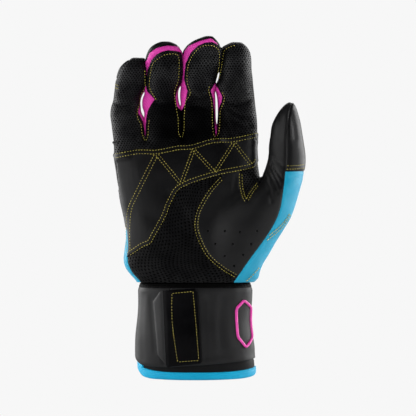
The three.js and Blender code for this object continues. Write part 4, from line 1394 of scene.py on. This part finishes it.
def makeTab():
    piece = startGrid("pullTab", 80, 110)
    corners = tab["outline"]
    left, top = np.min(corners, axis=0)
    right, bottom = np.max(corners, axis=0)
    movePoints(piece, [left, top, 0] + pointsOf(piece) * [right - left, bottom - top, 1])
    crease = ([top, bottom], [tab["creaseTop"], tab["creaseBottom"]])
    only(piece)
    bpy.ops.object.mode_set(mode="EDIT")
    for (x0, y0), (x1, y1) in zip(corners, corners[1:] + corners[:1]):
        outward = Vector((y0 - y1, x1 - x0, 0)).normalized()
        bpy.ops.mesh.select_all(action="SELECT")
        bpy.ops.mesh.bisect(plane_co=(x0, y0, 0), plane_no=outward, clear_outer=True)
    slant = Vector((bottom - top, tab["creaseTop"] - tab["creaseBottom"], 0))
    bpy.ops.mesh.select_all(action="SELECT")
    bpy.ops.mesh.bisect(plane_co=(tab["creaseTop"], top, 0), plane_no=slant.normalized())
    bpy.ops.object.mode_set(mode="OBJECT")
    flat = pointsOf(piece)
    away = flat[:, 0] - np.interp(flat[:, 1], *crease)
    stand = tab["stand"] * np.where(away < 0, 1 + away / tab["gripRun"], 1 - away / tab["frontRun"])
    softness, softOver = tab["creaseSoftness"]
    soft = tab["stand"] * softness * np.exp(-((away / softOver) ** 2))
    points = np.array([fromPhoto(x, y, tab["depth"]) for x, y, _ in flat])
    depth = strapDepthAt(points[:, 0], points[:, 2])
    edge = inside(corners, flat[:, :2]) * photo["mmPerPixel"]
    rollDeep, rollOver = tab["edgeRoll"]
    rolled = rollDeep * (1 - smoothStep(edge / rollOver))
    waveHeight, *waveForm = tab["waves"]
    wave = waveHeight * lumps(points, *waveForm)
    depth = depth - tab["lift"] - tab["thickness"]
    points[:, 1] = depth - np.maximum(stand - soft, 0) + rolled - wave
    movePoints(piece, points)
    giveThickness(piece, tab["thickness"], 0.3, 2)
    for part in range(2):
        piece.data.materials.append(None)
    # Faces left of the crease, on the grip end, take the second finish: painted light
    for face in piece.data.polygons:
        across, down = inPhoto(np.array([face.center]))[0]
        face.material_index = int(across < np.interp(down, *crease))
    skinParts.append((pointsOf(piece), trianglesOf(piece)))
    toMetres(piece)
    return piece


pullTab = makeTab()
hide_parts("pull_tab")
wear(pullTab, tabLeather, "smooth_leather", "strap")
pullTab.data.materials[1] = cuffFoam  # the grip end takes the strap's foam finish, lighter than the tab's: painted light on that bent facet

# Raised piping: a plain six-sided outline on the thumb side of the strap
piping = {
    "corners": [(34, 61), (46, 55), (46, 33), (34, 25), (12, 33), (12, 55)],  # degrees round, height
    "straight": (0.08, 0.92),  # shares of each side between its rounded corners
    "lift": 0.35,
    "radius": 1.1,
}


def makePiping():
    corners = piping["corners"]
    line = []
    for start, end in zip(np.array(corners), np.array(corners[1:] + corners[:1])):
        line += [start + (end - start) * share for share in np.linspace(*piping["straight"], 8)]
    degrees, height = np.transpose(line)
    curve = bpy.data.curves.new("strapPiping", "CURVE")
    curve.dimensions = "3D"
    spline = curve.splines.new("NURBS")
    spline.points.add(len(line) - 1)
    for point, place in zip(spline.points, cuffPoints(np.radians(degrees), piping["lift"], height)):
        point.co = (*place, 1)
    spline.use_cyclic_u = True
    spline.order_u = 3
    curve.bevel_depth = piping["radius"]
    curve.bevel_resolution = 3
    curve.resolution_u = 3
    only(addObject("strapPiping", curve))
    bpy.ops.object.convert(target="MESH")
    piece = bpy.context.object
    toMetres(piece)
    return piece


strapPiping = makePiping()
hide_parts("strap_piping")
wear(strapPiping, pipingPink, "pink_piping", "strap")

# Stitches: each one a short waxed thread, half sunk in the leather
stitch = {
    "pitch": 2.2,
    "length": 1.25,
    "thick": 0.5,
    "raise": 0.12,
    "blunt": 0.6,  # how square its ends are: 1 is a plain oval
    "longestStep": 6.0,  # longer steps between a line's points are gaps
    "longest": 1.4,  # a stitch that would be stretched by more than this is left out
}
doubleRow = 3.6  # pixels between the two lines of a double row

skinPoints = np.concatenate([points for points, faces in skinParts])
starts = np.cumsum([0] + [len(points) for points, faces in skinParts])
skinFaces = np.concatenate([faces + start for (points, faces), start in zip(skinParts, starts)])
skinTree = BVHTree.FromPolygons(skinPoints.tolist(), skinFaces.tolist())
cameraPoint = Vector((photo["cameraX"], -photo["distance"], photo["cameraZ"]))


# Where the photograph's pixels lie on the glove: points and the leather's facing there
def onGlove(line):
    found = []
    for across, down in line:
        way = Vector(fromPhoto(across, down, 0.0)) - cameraPoint
        place, facing, _, _ = skinTree.ray_cast(cameraPoint, way.normalized())
        if place is not None:
            found.append((np.array(place), np.array(facing)))
    return found


def besideLine(line, distance):
    line = np.array(line, float)
    along = np.gradient(line, axis=0)
    along /= np.maximum(np.linalg.norm(along, axis=1), 1e-9)[:, None]
    return line + distance * np.stack([-along[:, 1], along[:, 0]], 1)


def stitchTemplate():
    bpy.ops.object.select_all(action="DESELECT")
    bpy.ops.mesh.primitive_uv_sphere_add(segments=6, ring_count=4, radius=0.5)
    seed = bpy.context.object
    points = pointsOf(seed)[:, [2, 0, 1]]
    points[:, 0] = np.sign(points[:, 0]) * np.abs(points[:, 0] * 2) ** stitch["blunt"] / 2
    points *= [stitch["length"], stitch["thick"], stitch["thick"]]
    faces = [list(face.vertices) for face in seed.data.polygons]
    bpy.data.objects.remove(seed)
    return points, faces


seedPoints, seedFaces = stitchTemplate()


# Stitches laid along a line of (point, facing) pairs
def stitchesAlong(found, phase=0.0, lift=0.0, stout=1.0):
    if len(found) < 2:
        return []
    places, facings = np.array(found).transpose(1, 0, 2)
    steps = np.linalg.norm(np.diff(places, axis=0), axis=1)
    length = np.concatenate([[0], np.cumsum(np.minimum(steps, stitch["longestStep"]))])
    half = stitch["length"] / 2
    laid = []
    for at in np.arange(stitch["pitch"] * (0.5 + phase), length[-1], stitch["pitch"]):
        start = np.array([np.interp(at - half, length, column) for column in places.T])
        end = np.array([np.interp(at + half, length, column) for column in places.T])
        up = np.array([np.interp(at, length, column) for column in facings.T])
        along = end - start
        if np.linalg.norm(along) > stitch["length"] * stitch["longest"]:
            continue
        along /= max(np.linalg.norm(along), 1e-6)
        up -= along * (up @ along)
        up /= max(np.linalg.norm(up), 1e-6)
        centre = (start + end) / 2 + up * (stitch["raise"] + lift)
        laid.append(seedPoints * stout @ np.stack([along, np.cross(up, along), up]) + centre)
    return laid


def sewOn(name, laid, slot, *bodies):
    count = len(seedPoints)
    faces = [[corner + at * count for corner in face] for at in range(len(laid)) for face in seedFaces]
    piece = newObject(name, np.concatenate(laid), faces)
    toMetres(piece)
    wear(piece, goldThread, slot, *bodies)


def singleRow(line, steps=12, lift=0.0, stout=1.0):
    return stitchesAlong(onGlove(flowing(line, steps)), 0.0, lift, stout)


def doubleRowOf(line, apart=doubleRow, steps=12):
    smooth = flowing(line, steps)
    laid = stitchesAlong(onGlove(besideLine(smooth, apart / 2)))
    return laid + stitchesAlong(onGlove(besideLine(smooth, -apart / 2)), 0.3)


zigzag = [(156.5, 154), (181, 184), (193.6, 149.5), (214.7, 172.5), (234, 142.5), (251, 164.5)]
palmStitches = doubleRowOf(seams["overlayTop"][1:-1] + [(258.6, 134.6)])
palmStitches += doubleRowOf(seams["overlayLow"][1:-1])
for start, end in zip(zigzag, zigzag[1:]):
    palmStitches += doubleRowOf([start, end], 2.8, 40)
palmStitches += doubleRowOf([(156, 155), (137.5, 192), (130, 209), (128, 228), (128.4, 251)])
palmStitches += doubleRowOf(seams["thumbPanelLeft"][1:-1], 3.0)
palmStitches += doubleRowOf([(240.6, 173), (241.2, 186), (243.6, 196), (246, 200.6)], 2.6)
palmStitches += doubleRowOf([(247, 200.4), (251, 193), (258, 184)], 2.4)
sewOn("palmStitches", palmStitches, "smooth_leather", "hand")

fingerStitches = {
    "little": [
        [(113.8, 84), (118.6, 85.8)],
        [(113.8, 87.4), (118.6, 88.8)],
        [(144.4, 70), (145, 83), (144.6, 88), (140.2, 96), (139.5, 103), (137.3, 111), (137.6, 118),
         (141, 125), (142, 133), (145, 141.5)],
    ],
    "ring": [
        [(156.4, 100), (149.9, 88.7), (149.6, 81), (151, 71), (153.4, 63), (159.3, 58), (165.9, 54.6),
         (174.7, 54), (178.6, 57), (179, 71), (178, 81), (174.4, 93), (176.6, 110.7), (178, 118),
         (178.4, 132.7), (180.6, 137)],
        [(145.6, 141), (148, 136), (148.3, 128), (149.4, 118)],
    ],
    "middle": [
        [(190.2, 91), (187.4, 82), (187.4, 70), (189, 63), (192, 56.6), (195.7, 51.5), (199.3, 47.8),
         (204.5, 45.6), (210.4, 45.6), (215.5, 47), (219, 52), (219, 66), (216.6, 78)],
        [(190.5, 91), (189.4, 96), (186, 101), (184.9, 107), (184.4, 116), (184, 130.7), (181.6, 138)],
        [(209.6, 86), (208.6, 90.4), (211.8, 104), (212.2, 122), (213.3, 133), (215.4, 138)],
    ],
    "index": [
        [(219, 79), (221.4, 68.4), (223, 57), (225, 50.3), (230, 47), (236, 45.4)],
        [(216.6, 138), (219.2, 131), (219.9, 121), (220.6, 111), (223.9, 102), (224.3, 97), (221.6, 91)],
    ],
}
for finger, rows in fingerStitches.items():
    laid = [one for row in rows for one in singleRow(row)]
    sewOn(finger + "Stitches", laid, "grain_leather", "hand", finger)

tabLine = tab["stitches"] + tab["stitches"][:1]
tabStitches = [one for ends in zip(tabLine, tabLine[1:]) for one in singleRow(ends, 30)]
sewOn("tabStitches", tabStitches, "smooth_leather", "strap")

thumbStitches = doubleRowOf([(285.9, 167.6), (296, 167.2), (306.6, 166)], 3.4)
for line in (
    [(266.4, 240.2), (272, 235.6), (278, 230.6), (282.8, 225.8), (286.8, 220.4), (290, 214)],
    [(268.6, 235.6), (274.6, 230.4), (280.6, 225), (285.6, 219.2), (289, 213)],
    [(245.5, 281), (250, 277), (254.4, 272.4), (258.4, 267.4)],
):
    thumbStitches += singleRow(line, lift=0.6, stout=1.45)
sewOn("thumbStitches", thumbStitches, "smooth_leather", "hand", "thumb")


# Studio: white sweep, side soft boxes, a weak light from the front
studioWhite = "#f7f7f7"
lampAim = Vector((0, 0, 0.14))
lamps = [
    # name, place, size, power
    ("leftBox", (-1.1, 0.12, 0.25), (0.45, 1.0), 9),
    ("rightBox", (1.1, 0.12, 0.25), (0.45, 1.0), 12),
    ("frontLeftBox", (-1.0, -0.7, 0.3), (0.9, 0.9), 6),
    ("frontRightBox", (1.0, -0.7, 0.3), (0.5, 0.9), 3.5),
    ("backLeftBox", (-0.9, 0.6, 0.3), (0.5, 1.0), 9),
    ("backRightBox", (0.9, 0.6, 0.3), (0.5, 1.0), 9),
    ("topBox", (0.0, -0.1, 1.3), (0.9, 0.5), 1.5),
    ("backBox", (0.2, 1.3, 0.8), (1.0, 1.0), 9),
    ("frontFill", (-0.3, -1.5, 0.6), (1.0, 1.0), 15),
]


def makeCamera():
    data = bpy.data.cameras.new("camera")
    camera = addObject("camera", data)
    eye = np.array([photo["cameraX"], -photo["distance"], photo["cameraZ"]])
    camera.location = (eye + toRow) / metre
    camera.rotation_euler = (math.pi / 2, 0, 0)
    data.sensor_width = photo["sensor"]
    data.lens = photo["sensor"] * photo["distance"] / (photo["pixels"] * photo["mmPerPixel"])
    data.clip_start = 0.01
    bpy.context.scene.camera = camera


def softBox(name, place, size, power):
    data = bpy.data.lights.new(name, "AREA")
    data.shape = "RECTANGLE"
    data.size, data.size_y = size
    data.energy = power
    light = addObject(name, data)
    light.location = place
    light.rotation_euler = (lampAim - Vector(place)).to_track_quat("-Z", "Y").to_euler()
    light.visible_glossy = name != "frontFill"


def makeStudio():
    world = bpy.data.worlds.new("studio")
    bpy.context.scene.world = world
    world.use_nodes = True
    tree = world.node_tree
    tree.nodes.clear()
    seen = addNode(tree, "Background", {"Color": linear(studioWhite), "Strength": 1.0})
    cast = addNode(tree, "Background", {"Color": linear("#ffffff"), "Strength": 0.03})
    way = addNode(tree, "LightPath", output="Is Camera Ray")
    output = tree.nodes.new("ShaderNodeOutputWorld")
    feed(tree, output, {"Surface": addNode(tree, "MixShader", {0: way, 1: cast, 2: seen})})
    bpy.ops.mesh.primitive_plane_add(size=6.0, location=(0, 0, -0.0005))
    floor = bpy.context.object
    floor.name = "studioFloor"
    material = bpy.data.materials.new("paleSweep")
    material.use_nodes = True
    tree = material.node_tree
    finished(material, linear("#e9e9e9"), 0.9)
    glow = addNode(tree, "Emission", {"Color": linear(studioWhite), "Strength": 1.0})
    way = addNode(tree, "LightPath", output="Is Camera Ray")
    sweep = tree.nodes["Principled BSDF"].outputs[0]
    mixed = addNode(tree, "MixShader", {0: way, 1: sweep, 2: glow})
    feed(tree, tree.nodes["Material Output"], {"Surface": mixed})
    floor.data.materials.append(material)
    for name, place, size, power in lamps:
        softBox(name, place, size, power)
    bpy.context.scene.view_settings.view_transform = "Standard"


print("lighting the studio")
makeCamera()
makeStudio()
bpy.context.view_layer.update()
